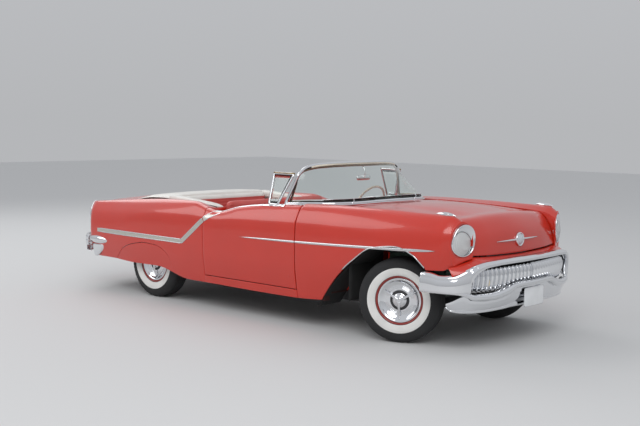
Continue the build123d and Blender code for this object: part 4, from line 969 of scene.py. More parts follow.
def nose_point(y, z):
    """The hood's nose surface at widths y and height z."""
    grid = hood_grid(np.asarray(y, float))
    points = []
    for row in grid:
        nose = row[len(row) // 2:]
        points.append([np.interp(z, nose[::-1, 2], nose[::-1, 0]), row[0, 1], z])
    return np.array(points)


PARKING_LENS = vinyl("cream lens", (0.85, 0.72, 0.50), 0.15)
PLATE_WHITE = vinyl("blank plate enamel", (0.86, 0.87, 0.88), 0.3)
PALE_TRIM = bright("pale brushed insert", (0.66, 0.64, 0.58), 0.34)
ENAMEL_GREY = glass("badge dome", (0.75, 0.80, 0.84), 0.05, 0.25)
REFLECTOR = bright("lamp reflector", (0.90, 0.90, 0.88), 0.16)
LAMP_GLASS = material("fluted lens", (0.96, 0.97, 0.97), 0.10, IOR=1.30, Transmission_Weight=0.35)
relief(LAMP_GLASS, node(LAMP_GLASS, "ShaderNodeTexWave",
                        [("Vector", node(LAMP_GLASS, "ShaderNodeTexCoord"), "Object")],
                        bands_direction="Y", Scale=26.0, Distortion=0.0), 0.004, strength=1.0)
RED_GLASS = material("red lens", (0.55, 0.01, 0.01), 0.08, Transmission_Weight=0.4, IOR=1.4)
tint(RED_GLASS, noise(RED_GLASS, 60.0), (0.45, 0.008, 0.008), (0.65, 0.02, 0.015))

gravel_pan()
front_bumper()
grille()
plate()
rear_bumper()
lamp_fronts()
tail_lamps()
side_trim()
ornaments()


# Glass and its frames

# The windshield from the middle to its left post: foot x, y, z and head x, y, z
SHIELD = np.array([
    (1150, 0, 1108, 724, 0, 1452), (1128, 280, 1105, 713, 240, 1451), (1050, 530, 1096, 676, 440, 1444),
    (900, 715, 1090, 636, 580, 1429), (700, 800, 1084, 614, 680, 1396), (520, 826, 1072, 606, 745, 1338),
]) / 1000
SHIELD_POINTS = 121
# The left vent window's corners: x, y, z round it from its lower rear
VENT = np.array([(362, 872, 1066), (468, 872, 1066), (588, 786, 1344), (344, 786, 1344)]) / 1000


def shield(shares, count=SHIELD_POINTS):
    """Rows of points over the windshield at shares of its height, each from its right post to its left."""
    half = SHIELD.reshape(6, 2, 3).transpose(1, 0, 2)
    whole = np.concatenate([half[:, :0:-1] * (1, -1, 1), half], axis=1)
    foot, head = spline_rows(whole, count)
    return foot + (head - foot) * np.asarray(shares, float)[:, None, None]


def shield_loop(low, high, ends, out=0.0):
    """The line round the windshield between two shares of its height, in from its posts, and its normals."""
    grid = shield(np.linspace(low, high, 15))[:, ends:SHIELD_POINTS - ends]
    normal = normals(grid)
    keep = [(0, slice(None)), (slice(1, -1), -1), (-1, slice(None, None, -1)), (slice(-2, 0, -1), 0)]
    return (np.concatenate([grid[k] + out * normal[k] for k in keep]),
            np.concatenate([normal[k] for k in keep]))


def windshield():
    """The wrapped glass, its rubber, the bright frame, the cream header and the mouldings at its foot."""
    pane = sheet("windshield_pane", shield(np.linspace(0.045, 0.965, 14))[:, 2:-2], GLASS)
    plated(pane, 0.005)
    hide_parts("windshield_glass")
    crown = [(0.013, -0.009), (0.014, 0.002), (0.009, 0.009), (0.0, 0.0115), (-0.009, 0.009), (-0.014, 0.002),
             (-0.013, -0.009)]
    line, normal = shield_loop(0.012, 0.975, 0)
    frame_piece = sweep("windshield_surround", line, crown, CHROME, up=normal, wrap=True)
    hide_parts("windshield_frame")
    line, normal = shield_loop(0.052, 0.938, 2)
    seal = sweep("windshield_seal", line, ring(0.0055, 8, 1.5), RUBBER, up=normal, wrap=True)
    line, normal = shield_loop(0.09, 0.915, 2, -0.014)
    inner = sweep("windshield_inner_edge", line, ring(0.006, 8, 1.6), GOLD_TRIM, up=normal, wrap=True)
    head = shield([0.945])[0, 16:-16] + (-0.020, 0, -0.003)
    board = [(0.030, -0.008), (0.030, 0.005), (0.020, 0.010), (-0.020, 0.010), (-0.030, 0.005),
             (-0.030, -0.008)]
    header = sweep("windshield_header", head, board, CREAM)
    foot = shield([-0.005])[0]
    away = normals(shield([0, 0.5]))[0] * (1, 1, 0)
    low = sweep("windshield_foot_moulding", foot + away * 0.020 - (0, 0, 0.006), ring(0.009, 12, 0.8), CHROME)
    lip = sweep("windshield_foot_rubber", foot + away * 0.008 - (0, 0, 0.006), ring(0.010, 8, 0.7), RUBBER)
    for obj, slot_name in ((pane, "glass"), (frame_piece, "chrome"), (seal, "tyre"), (inner, "chrome"),
                           (header, "cream_plastic"), (low, "chrome"), (lip, "tyre")):
        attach(obj, "body")


def vents():
    """The vent windows on the doors: a bright frame with a dark top bar, a pane and its rubber."""
    path = np.concatenate([a + (b - a) * np.linspace(0.04, 0.96, 12)[:, None]
                           for a, b in zip(VENT, np.roll(VENT, -1, axis=0))])
    middle = VENT.mean(axis=0)
    face = unit(np.cross(VENT[1] - VENT[0], VENT[3] - VENT[0]))
    section = [(0.010, -0.006), (0.010, 0.004), (0.004, 0.008), (-0.004, 0.008), (-0.010, 0.004),
               (-0.010, -0.006)]
    inside = middle + (path - middle) * 0.90
    u = np.linspace(0, 1, 8)[:, None, None]
    v = np.linspace(0, 1, 8)[None, :, None]
    corners = middle + (VENT - middle) * 0.92
    foot_edge = corners[0] * (1 - u) + corners[1] * u
    head_edge = corners[3] * (1 - u) + corners[2] * u
    pane_grid = foot_edge * (1 - v) + head_edge * v
    bar = VENT[3] + (VENT[2] - VENT[3]) * np.linspace(-0.02, 1.02, 16)[:, None] + (0, 0, 0.003)
    foot = np.array([(0.372, 0.872, 1.066), (0.372, 0.872, 1.036)])
    for side, sign in SIDES:
        way = np.array((1, sign, 1))
        pane = sheet(f"vent_pane_{side}", pane_grid * way, GLASS)
        plated(pane, 0.004)
        surround = sweep(f"vent_frame_{side}", path * way, section, CHROME, up=face * way, wrap=True)
        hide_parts(f"vent_window_{side}")
        seal = sweep(f"vent_seal_{side}", inside * way, ring(0.004, 8, 1.6), RUBBER, up=face * way, wrap=True)
        top = sweep(f"vent_bar_{side}", bar * way, ring(0.009, 12, 0.8), GOLD_TRIM, up=face * way)
        legs = [sweep(f"vent_leg_{side}_{i}", (foot + (dx, 0, 0)) * way, ring(0.009, 12), CHROME,
                      up=(1, 0, 0))
                for i, dx in enumerate((0.0, 0.086))]
        hook = np.array([(0.400, 0.864, 1.080), (0.404, 0.850, 1.090), (0.425, 0.848, 1.094)]) * way
        catch = sweep(f"vent_catch_{side}", curve(hook, 12), ring(0.0045, 10, 1.3), CHROME)
        for obj, slot_name in [(pane, "glass"), (surround, "chrome"), (seal, "tyre"), (top, "chrome"),
                               (catch, "chrome")] + [(leg, "chrome") for leg in legs]:
            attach(obj, f"door_{side}")


def view_mirror():
    """The rear-view mirror: a stalk from the header, a rounded shell and the glass toward the driver."""
    stem = curve([(0.716, 0, 1.430), (0.738, 0, 1.405), (0.768, 0, 1.350), (0.762, 0, 1.300)], 24)
    stalk = sweep("mirror_stalk", stem, ring(0.0050, 14), CHROME, up=(0, 1, 0),
                  scale=np.linspace(1.3, 0.8, 24))
    v = np.linspace(-1, 1, 48)
    width = 0.100 * v
    size = (1 - np.abs(v) ** 6) ** 0.25
    t = np.arange(28) * 2 * np.pi / 28
    c, s = np.cos(t), np.sin(t)
    depth = np.where(c > 0, 0.016 * np.abs(c) ** 0.8, 0.001)
    shell_grid = stack(0.748 + depth * size[:, None], width[:, None] + 0 * t,
                       1.295 + 0.025 * s * size[:, None])
    shell = tidy(sheet("mirror_shell", shell_grid, CHROME, wrap_cols=True, caps=True))
    y = np.linspace(-0.094, 0.094, 40)
    high = 0.0205 * (1 - np.abs(y / 0.0955) ** 8) ** 0.5
    face_grid = stack(0.7455, y[:, None], 1.295 + high[:, None] * np.linspace(-1, 1, 9))
    face = thick(sheet("mirror_glass", face_grid, MIRROR_FACE), 0.002, 0.0005)
    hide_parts("mirror")
    fasten((stalk, shell, face), "body")


def wipers():
    """Two wipers lying at the windshield's foot, each an arm from its pivot and a blade on the glass."""
    low = shield([0.075])[0]
    away = normals(shield([0, 0.5]))[0]
    for name, start, end, pivot in (("right", 18, 46, 30), ("left", 66, 94, 78)):
        path = low[start:end] + away[start:end] * 0.013
        blade = sweep(f"wiper_blade_{name}", path, ring(0.0045, 8, 1.7), RUBBER, up=away[start:end])
        back = sweep(f"wiper_back_{name}", path + away[start:end] * 0.007, ring(0.0028, 8), STAINLESS)
        base = low[pivot] + (0.034, 0, -0.020)
        tip = path[len(path) // 2] + away[pivot] * 0.010
        arm_path = curve([base, base + (0.0, 0.02, 0.022), (base + tip) / 2 + (0.008, 0, 0.016), tip], 20)
        arm = sweep(f"wiper_arm_{name}", arm_path, ring(0.0042, 10, 0.7), STAINLESS,
                    scale=np.linspace(1.4, 0.8, 20))
        cap = [(0.0, -0.022), (0.013, -0.022), (0.013, 0.002), (0.009, 0.009), (0.0, 0.011)]
        knob = turned(f"wiper_pivot_{name}", cap, base, (0.25, 0, 1), CHROME, 32)
        for obj, slot_name in ((blade, "tyre"), (back, "chrome"), (arm, "chrome"), (knob, "chrome")):
            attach(obj, "body")


GOLD_TRIM = dull_metal("dark gold trim", (0.30, 0.22, 0.12), 0.32)
MIRROR_FACE = bright("silvered glass", (0.92, 0.93, 0.94), 0.02)

windshield()
vents()
view_mirror()
wipers()


# Cabin

COLUMN_WAY = np.array((np.cos(np.radians(25)), 0.0, -np.sin(np.radians(25))))
WHEEL_CENTRE = np.array((0.513, 0.380, 0.995))
CARD_Y = 0.850


def rounded(corners, radius, count):
    """A closed outline with corners rounded by a radius: evenly spaced points and their outward normals."""
    corners = np.asarray(corners, float)
    before, after = np.roll(corners, 1, axis=0), np.roll(corners, -1, axis=0)
    t = np.linspace(0, 1, 9)[:, None, None]
    start = corners + unit(before - corners) * radius
    end = corners + unit(after - corners) * radius
    bend = (1 - t) ** 2 * start + 2 * t * (1 - t) * corners + t**2 * end
    line = bend.transpose(1, 0, 2).reshape(-1, 2)
    line = np.vstack([line, line[:1]])
    run = np.concatenate([[0], np.cumsum(np.linalg.norm(np.diff(line, axis=0), axis=1))])
    at = np.arange(count) * run[-1] / count
    line = stack(np.interp(at, run, line[:, 0]), np.interp(at, run, line[:, 1]))
    ahead = unit(np.roll(line, -1, axis=0) - np.roll(line, 1, axis=0))
    area = (line[:, 0] * np.roll(line[:, 1], -1) - np.roll(line[:, 0], -1) * line[:, 1]).sum()
    return line, stack(ahead[:, 1], -ahead[:, 0]) * np.sign(area)


def inflate(obj, cap, pressure=3.0, frames=14):
    count = len(obj.data.vertices)
    start, end = np.empty(count * 3), np.empty(count * 3)
    obj.data.vertices.foreach_get("co", start)
    cloth = obj.modifiers.new("Cloth", "CLOTH")
    cloth.settings.use_pressure = True
    cloth.settings.uniform_pressure_force = pressure
    cloth.settings.effector_weights.gravity = 0
    for frame_number in range(1, frames + 1):
        bpy.context.scene.frame_set(frame_number)
    obj.evaluated_get(bpy.context.evaluated_depsgraph_get()).data.vertices.foreach_get("co", end)
    obj.modifiers.remove(cloth)
    bpy.context.scene.frame_set(1)
    move = (end - start).reshape(-1, 3)
    length = np.maximum(np.linalg.norm(move, axis=1, keepdims=True), 1e-9)
    obj.data.vertices.foreach_set("co", start + (move * np.minimum(1, cap / length)).ravel())
    obj.data.update()
    return obj


def pillow(name, corners, low_y, high_y, sewn, *materials, body="body", edge=0.045, crown=0.012, roll=0.05,
           count=150, rows=70, second=None):
    """A padded piece across the car: a rounded x, z outline, puffed in its middle, rolled at its ends.

    sewn lists stretches of the outline with channels: from, to (shares of its length), channels, depth.
    second gives the stretches that take the second material.
    """
    line, out = rounded(corners, edge, count)
    centre = line.mean(axis=0)
    y = (low_y + high_y) / 2 + (high_y - low_y) / 2 * np.sin(np.linspace(-np.pi / 2, np.pi / 2, rows))
    from_end = np.minimum(y - low_y, high_y - y)
    inset = roll - np.sqrt(np.clip(roll**2 - np.clip(roll - from_end, 0, None) ** 2, 0, None))
    bulge = crown * (1 - (2 * (y - low_y) / (high_y - low_y) - 1) ** 4) - crown
    flat = line[None] + out[None] * (bulge - inset)[:, None, None]
    closing = [centre + (flat[0] - centre) * k for k in (0.15, 0.5, 0.8)]
    flat = np.concatenate([closing, flat, [centre + (flat[-1] - centre) * k for k in (0.8, 0.5, 0.15)]])
    y = np.concatenate([[low_y - 0.004, low_y - 0.003, low_y - 0.001], y,
                        [high_y + 0.001, high_y + 0.003, high_y + 0.004]])
    grid = stack(flat[..., 0], y[:, None], flat[..., 1])
    obj = sheet(name, grid, *materials, wrap_cols=True, caps=True)
    made = bmesh.new()
    made.from_mesh(obj.data)
    bmesh.ops.recalc_face_normals(made, faces=made.faces)
    made.to_mesh(obj.data)
    made.free()
    inflate(obj, 0.010)
    share = np.tile(np.arange(count) / count, len(y))
    level = np.repeat(np.clip(np.minimum(y - low_y, high_y - y) / roll, 0, 1), count)
    depth = np.zeros_like(share)
    for start, end, channels, deep in sewn:
        inside = (share >= start) & (share <= end)
        wave = np.abs(np.sin(np.pi * channels * (share - start) / (end - start))) ** 0.55 - 1
        depth += np.where(inside, deep * wave * level**0.5, 0)
    points = np.empty(len(share) * 3)
    normal = np.empty(len(share) * 3)
    obj.data.vertices.foreach_get("co", points)
    obj.data.vertices.foreach_get("normal", normal)
    obj.data.vertices.foreach_set("co", points + normal * np.repeat(depth, 3))
    if second:
        index = np.zeros(len(obj.data.polygons), int)
        middle = (np.arange((len(y) - 1) * count) % count) / count
        for start, end in second:
            index[:len(middle)][(middle >= start) & (middle <= end)] = 1
        obj.data.polygons.foreach_set("material_index", index.tolist())
    obj.data.update()
    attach(obj, body)
    return obj


def seats():
    """The front bench with its split back, and the rear bench: pleated red with white upper rolls."""
    cushion = [(-0.300, 0.405), (0.205, 0.405), (0.222, 0.655), (-0.290, 0.640)]
    front = pillow("front_cushion", cushion, -0.695, 0.695,
                   [(0.49, 0.84, 13, 0.006), (0.345, 0.49, 3, 0.004)],
                   RED_VINYL, WHITE_VINYL, second=[(0.33, 0.46)])
    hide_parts("front_seat")
    back = [(-0.428, 0.400), (-0.300, 0.400), (-0.290, 0.620), (-0.340, 1.046), (-0.430, 1.040)]
    for name, low, high in (("right", -0.695, -0.006), ("left", 0.006, 0.695)):
        pillow(f"front_back_{name}", back, low, high, [(0.17, 0.510, 12, 0.006)],
               RED_VINYL)
    cushion = [(-1.120, 0.582), (-0.665, 0.582), (-0.645, 0.690), (-1.100, 0.684)]
    rear = pillow("rear_cushion", cushion, -0.575, 0.575, [(0.50, 0.86, 12, 0.006)], RED_VINYL, WHITE_VINYL,
                  edge=0.035, second=[(0.36, 0.46)])
    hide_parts("rear_seat")
    back = [(-1.178, 0.600), (-1.060, 0.640), (-1.052, 0.700), (-1.098, 1.044), (-1.178, 1.040)]
    pillow("rear_back", back, -0.575, 0.575, [(0.19, 0.485, 9, 0.006)], RED_VINYL, WHITE_VINYL, edge=0.035,
           second=[(0.495, 0.600)])
    base = [(-0.330, 0.350), (0.170, 0.350), (0.175, 0.400), (-0.330, 0.400)]
    line, _ = rounded(base, 0.015, 60)
    y = np.linspace(-0.64, 0.64, 8)
    box = tidy(sheet("front_seat_base", stack(line[None, :, 0], y[:, None], line[None, :, 1]), BLACK,
                     wrap_cols=True, caps=True))
    line, _ = rounded([(-1.16, 0.578), (-0.68, 0.578), (-0.68, 0.600), (-1.16, 0.600)], 0.008, 40)
    y = np.linspace(-0.56, 0.56, 8)
    shelf = tidy(sheet("rear_seat_base", stack(line[None, :, 0], y[:, None], line[None, :, 1]), BLACK,
                       wrap_cols=True, caps=True))
    piping = []
    for name, low, high in (("right", -0.660, -0.040), ("left", 0.040, 0.660)):
        path = stack(np.full(30, -0.318), np.linspace(low, high, 30), 0.905)
        piping.append(sweep(f"front_piping_{name}", path, ring(0.0045, 10), WHITE_VINYL))
    fasten([box, shelf] + piping, "body")


def top_cover():
    """The white cover over the folded top: a crowned deck with a rolled edge, a pointed arm each side."""
    y = np.linspace(-1, 1, 61)
    deck = curve([(-1.186, 0.955), (-1.186, 1.018), (-1.200, 1.047), (-1.260, 1.056), (-1.400, 1.054),
                  (-1.520, 1.043), (-1.640, 1.015), (-1.730, 0.987), (-1.764, 0.971), (-1.764, 0.944)], 56)
    drop = 0.020 * np.abs(y) ** 3 + 0.028 * np.clip(np.abs(y) - 0.88, 0, None) ** 2 / 0.0144
    width = 0.719 * y
    lift = np.clip((deck[:, 1] - 0.955) / 0.12, 0, 1)
    fold = 0.003 * np.sin(9 * np.pi * (deck[:, 0] + 1.2) / 0.56) * lift
    z = deck[None, :, 1] - drop[:, None] * lift[None] + fold[None] * (1 - np.abs(y[:, None]) ** 6)
    cover = tidy(sheet("top_cover", stack(deck[None, :, 0], width[:, None], z), WHITE_VINYL, flip=True))
    thick(cover, 0.004)
    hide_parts("top_boot")
    x = np.linspace(-0.472, -1.215, 60)
    share = np.linspace(0, 1, 60)
    t = np.arange(32) * 2 * np.pi / 32
    c, s = np.cos(t), np.sin(t)
    soft = stack(np.sign(c) * np.abs(c) ** 0.55, np.sign(s) * np.abs(s) ** 0.55)
    half_y = 0.0585 * np.clip(share * 7, 0, 1) ** 0.6
    half_z = 0.008 + 0.031 * smooth(np.array([0, 0.25, 0.7, 1.0]), np.array([[0.0], [0.45], [0.9], [1.15]]),
                                    share)[:, 0]
    centre_z = 0.958 + half_z
    arms = []
    for side, sign in SIDES:
        grid = stack(x[:, None], sign * (0.6595 + half_y[:, None] * soft[None, :, 0]),
                     centre_z[:, None] + half_z[:, None] * soft[None, :, 1])
        arm = tidy(sheet(f"top_cover_arm_{side}", grid, WHITE_VINYL, wrap_cols=True, caps=True))
        inflate(arm, 0.003)
        arms.append(arm)
        seam_path = stack(x, sign * (0.6595 - half_y * 0.98), centre_z - half_z * 0.25)
        arms.append(sweep(f"top_cover_piping_{side}", seam_path[3:], ring(0.0035, 8), WHITE_VINYL))
        line = stack(np.linspace(-0.50, -1.74, 90), sign * 0.717, 0)
        line[:, 2] = sections(line[:, 0])[:, -1, 0] + 0.002
        arms.append(sweep(f"top_cover_seal_{side}", line, ring(0.0035, 8), RUBBER))
    hem = stack(-1.190, np.linspace(-0.700, 0.700, 60), 1.028 - 0.020 * np.abs(np.linspace(-1, 1, 60)) ** 3)
    arms.append(sweep("top_cover_hem", hem, ring(0.0045, 8), WHITE_VINYL))
    stud = [(0.0, -0.003), (0.008, -0.003), (0.008, 0.001), (0.005, 0.004), (0.0, 0.005)]
    studs = []
    for i, at in enumerate(np.linspace(-0.64, 0.64, 9)):
        centre = (-1.753, at, 0.979 - 0.02 * abs(at / 0.72) ** 3)
        studs.append(turned(f"top_cover_stud_{i}", stud, centre, (-0.45, 0, 0.9), CHROME, 20))
    fasten([cover, joined("top_cover_studs", studs)] + arms, "body")


def card(name, x, sign, y, low, high, body, white_from, pleats_to):
    """A pleated inner panel: rows of horizontal channels, a bright strip and a plain white band above."""
    z = np.linspace(low, high, 110)
    pitch = 0.042
    pleated = (z > low + 0.04) & (z < pleats_to)
    puff = np.where(pleated, 0.008 * np.abs(np.sin(np.pi * (z - low) / pitch)) ** 0.6, 0.004)
    puff = np.where(z > white_from, 0.012 * (1 - ((z - white_from) / (high - white_from) * 2 - 1) ** 4), puff)
    edge = np.clip(np.minimum(x - x[0], x[-1] - x) / 0.02, 0, 1)[:, None] ** 0.5
    grid = stack(x[:, None], sign * (y - puff[None] * edge - 0.002), z[None])
    obj = sheet(name, grid, RED_VINYL, WHITE_VINYL, flip=sign < 0)
    white = np.tile((z[:-1] > white_from).astype(int), len(x) - 1)
    obj.data.polygons.foreach_set("material_index", white.tolist())
    plated(obj, 0.004, -1)
    path = stack(x[1:-1], sign * (y - 0.010), white_from)
    strip_piece = sweep(f"{name}_strip", path, ring(0.005, 10, 0.9), STAINLESS)
    for piece, slot_name in ((obj, "seat_vinyl"), (strip_piece, "chrome")):
        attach(piece, body)
    return obj


def card_rows(start, after, before, end, count):
    """Stations along a card: five close ones where each edge turns over, and a few between."""
    turn = 0.022
    return np.concatenate([np.linspace(start, start + turn, 5), np.linspace(after, before, count),
                           np.linspace(end - turn, end, 5)])


def inner_panels():
    """The doors' cards with armrests, cranks and handles, the doors' walls, and the sides behind."""
    for side, sign in SIDES:
        body = f"door_{side}"
        card(f"door_card_{side}", card_rows(-0.418, -0.30, 0.40, 0.470, 6), sign, CARD_Y, 0.350, 0.925,
             body, 0.908, 0.895)
        rest_line, _ = rounded([(0.800, 0.688), (0.848, 0.680), (0.848, 0.742), (0.796, 0.742)], 0.012, 40)
        x = 0.16 + 0.19 * np.sin(np.linspace(-np.pi / 2, np.pi / 2, 40))
        shrink = np.clip(np.minimum(x + 0.03, 0.35 - x) / 0.03, 0.25, 1)[:, None] ** 0.5
        middle = np.array((0.848, 0.715))
        flat = middle + (rest_line[None] - middle) * shrink[..., None]
        rest = tidy(sheet(f"armrest_{side}", stack(x[:, None], sign * flat[..., 0], flat[..., 1]),
                          WHITE_VINYL, wrap_cols=True, caps=True))
        inflate(rest, 0.003)
        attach(rest, body)
        for kind, at, tip in (("crank", (0.300, 0.600), (0.345, 0.515)),
                              ("latch", (0.060, 0.640), (0.150, 0.636))):
            hub = np.array((at[0], sign * 0.842, at[1]))
            disc = [(0.0, 0.0), (0.022, 0.0), (0.019, 0.007), (0.010, 0.012), (0.0, 0.013)]
            rose = turned(f"{kind}_rose_{side}", disc, hub, (0, -sign, 0), CHROME, 36)
            end = np.array((tip[0], sign * 0.818, tip[1]))
            bend = hub * 0.7 + end * 0.3 - (0, sign * 0.012, 0)
            arm_path = curve([hub - (0, sign * 0.010, 0), bend, end], 14)
            arm = sweep(f"{kind}_arm_{side}", arm_path, ring(0.006, 10, 0.7), CHROME, up=(0, 1, 0))
            ball = [(0.0, -0.008), (0.007, -0.008), (0.010, 0.004), (0.008, 0.012), (0.0, 0.015)]
            knob = turned(f"{kind}_knob_{side}", ball, end, (0, -sign, 0), CREAM, 28)
            fasten((rose, arm, knob), body)
        jamb_walls(side, sign)
        card(f"rear_card_{side}", card_rows(-1.170, -1.05, -0.55, -0.448, 5), sign, 0.598, 0.350, 0.948,
             "body", 0.930, 0.915)


def jamb_walls(side, sign):
    """The painted walls that close a door's ends and foot, and the body's wall behind the door."""
    walls = []
    for name, x, inner, body in (("door_front_wall", DOOR_FRONT - 0.001, DOOR_INNER_Y, f"door_{side}"),
                                 ("door_rear_wall", DOOR_REAR + SEAM + 0.001, DOOR_INNER_Y, f"door_{side}"),
                                 ("quarter_wall", DOOR_REAR - 0.001, 0.600, "body")):
        fine = sections(np.array([x]))[0]
        crest = fine[:, 0].argmax()
        low = DOOR_BOTTOM if "door" in name else 0.270
        high = fine[crest, 0] - 0.012
        spans = [(low + 0.002, high)]
        if "front" in name:
            spans = [(low + 0.002, 0.450), (0.490, 0.840), (0.880, high)]
        t = np.linspace(0, 1, 6)
        facing = (-1 if "front" in name else 1) * sign
        parts = []
        for i, (foot, head) in enumerate(spans):
            z = np.linspace(foot, head, 20)
            outer = np.maximum(np.interp(z, fine[:crest + 1, 0], fine[:crest + 1, 1]) - 0.003, inner + 0.001)
            grid = stack(x, sign * (inner + (outer[:, None] - inner) * t), z[:, None])
            parts.append(sheet(f"{name}_{side}_{i}", grid, PAINT, flip=facing > 0))
        wall = joined(f"{name}_{side}", parts)
        plated(wall, 0.002, -1)
        walls.append((wall, body))
    x = np.linspace(DOOR_REAR + SEAM + 0.001, DOOR_FRONT - 0.001, 60)
    outer = flank(x, DOOR_BOTTOM, DOOR_BOTTOM + 0.01, 2)[:, 0, 1] - 0.003
    t = np.linspace(0, 1, 5)
    grid = stack(x[:, None], sign * (DOOR_INNER_Y + (outer[:, None] - DOOR_INNER_Y) * t), DOOR_BOTTOM + 0.001)
    floor = sheet(f"door_foot_wall_{side}", grid, PAINT, flip=sign > 0)
    plated(floor, 0.002, -1)
    walls.append((floor, f"door_{side}"))
    x = np.linspace(DOOR_REAR + SEAM, 0.470, 40)
    top = sections(x)
    top_z = top[..., 0].max(axis=1) - 0.008
    t = np.linspace(0, 1, 4)
    grid = stack(x[:, None], sign * DOOR_INNER_Y, 0.920 + (top_z[:, None] - 0.920) * t)
    sill = sheet(f"door_inner_edge_{side}", grid, PAINT, flip=sign < 0)
    plated(sill, 0.003, -1)
    walls.append((sill, f"door_{side}"))
    for wall, body in walls:
        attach(wall, body)


def carpet():
    """The carpet over the floor and the tunnel, with its pile."""
    for name, x0, x1, level, hump in (("front_carpet", -0.748, 1.165, 0.337, 0.134),
                                      ("rear_carpet", -0.700, -0.62, 0.579, 0.0)):
        x = np.append(np.linspace(x0, 1.080, 12), (1.092, x1)) if hump else np.linspace(x0, x1, 4)
        y = np.linspace(-0.812, 0.812, 110) if hump else np.linspace(-0.590, 0.590, 24)
        rise = np.clip((0.150 - np.abs(y)) / 0.045, 0, 1)
        z = level + 0.004 + (hump + 0.004) * (1 - (1 - rise) ** 2) * (rise > 0)
        front = np.where((x[:, None] > 1.088) & (np.abs(y) > 0.580), 0, 1)
        grid = stack(np.minimum(x[:, None], np.where(front > 0, 2, 1.086)), y[None], z[None] + 0 * x[:, None])
        obj = sheet(name, grid, CARPET)
        plated(obj, 0.003, -1)
        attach(obj, "body")


def dash():
    """On the dashboard: the instrument hood and dial, a bright strip, the radio's bars, knobs and a lid."""
    pieces = []
    path = stack(0.5975, np.linspace(-0.565, 0.185, 60), 0.985)
    pieces.append(sweep("dash_strip", path, ring(0.012, 12, 0.45), CHROME, up=(1, 0, 0)))
    line = np.linspace(-1, 1, 60)
    hood_y = 0.380 + 0.185 * line
    arch = 1.008 + 0.058 * np.sqrt(np.clip(1 - np.abs(line) ** 2.6, 0, 1))
    hood_x = np.array([0.590, 0.596, 0.660, 0.730])
    lower = np.array([0.0, 0.002, -0.004, -0.030])
    grid = stack(hood_x[:, None], hood_y[None], np.maximum(arch[None] + lower[:, None], 1.000))
    hooded = thick(sheet("instrument_hood", grid, PAINT), 0.004, 0.001)
    pieces.append(hooded)
    rim_path = stack(0.590, hood_y, arch)
    pieces.append(sweep("instrument_rim", rim_path, ring(0.005, 10), CHROME))
    y = 0.380 + 0.176 * line
    high = 0.050 * np.sqrt(np.clip(1 - np.abs(line) ** 2.6, 0, 1))
    face = sheet("instrument_face", stack(0.606, y[:, None], 1.008 + high[:, None] * np.linspace(0, 1, 6)),
                 DIAL)
    plated(face, 0.002)
    pieces.append(face)
    needle = np.array([(0.603, 0.380, 1.012), (0.603, 0.330, 1.044)])
    pieces.append(sweep("speed_needle", needle, ring(0.0016, 6), NEEDLE, up=(1, 0, 0)))
    for i, turn in enumerate(np.linspace(-75, 75, 13)):
        angle = np.radians(turn)
        a = np.array((0.6035, 0.380 - np.sin(angle) * 0.135, 1.012 + np.cos(angle) * 0.036))
        b = np.array((0.6035, 0.380 - np.sin(angle) * 0.150, 1.012 + np.cos(angle) * 0.043))
        pieces.append(sweep(f"dial_mark_{i}", [a, b], ring(0.0012, 6), CREAM, up=(1, 0, 0)))
    for i, at in enumerate(np.linspace(-0.080, 0.080, 17)):
        bar_path = curve([(0.597, at, 0.998), (0.592, at, 1.004), (0.600, at, 1.014), (0.622, at, 1.031)], 10)
        pieces.append(sweep(f"radio_bar_{i}", bar_path, ring(0.0026, 8), CHROME, up=(0, 1, 0)))
    knob = [(0.0, 0.0), (0.008, 0.0), (0.008, 0.010), (0.013, 0.014), (0.013, 0.024), (0.009, 0.028),
            (0.0, 0.029)]
    places = ((-0.112, 0.958), (0.112, 0.958), (0.190, 0.930), (0.560, 0.940), (-0.30, 0.940))
    for i, (at, z) in enumerate(places):
        centre = (0.600 + (0.960 - z) * 0.25, at, z)
        pieces.append(turned(f"dash_knob_{i}", knob, centre, (-1, 0, 0.25), CREAM, 32))
    lid = rounded([(-0.520, 0.850), (-0.200, 0.850), (-0.200, 0.950), (-0.520, 0.950)], 0.012, 80)[0]
    lid_path = stack(0.6245 - (lid[:, 1] - 0.86) * 0.25, lid[:, 0], lid[:, 1])
    pieces.append(sweep("glovebox_line", lid_path, ring(0.002, 6), RUBBER, up=(1, 0, 0), wrap=True))
    fasten(pieces, "body")


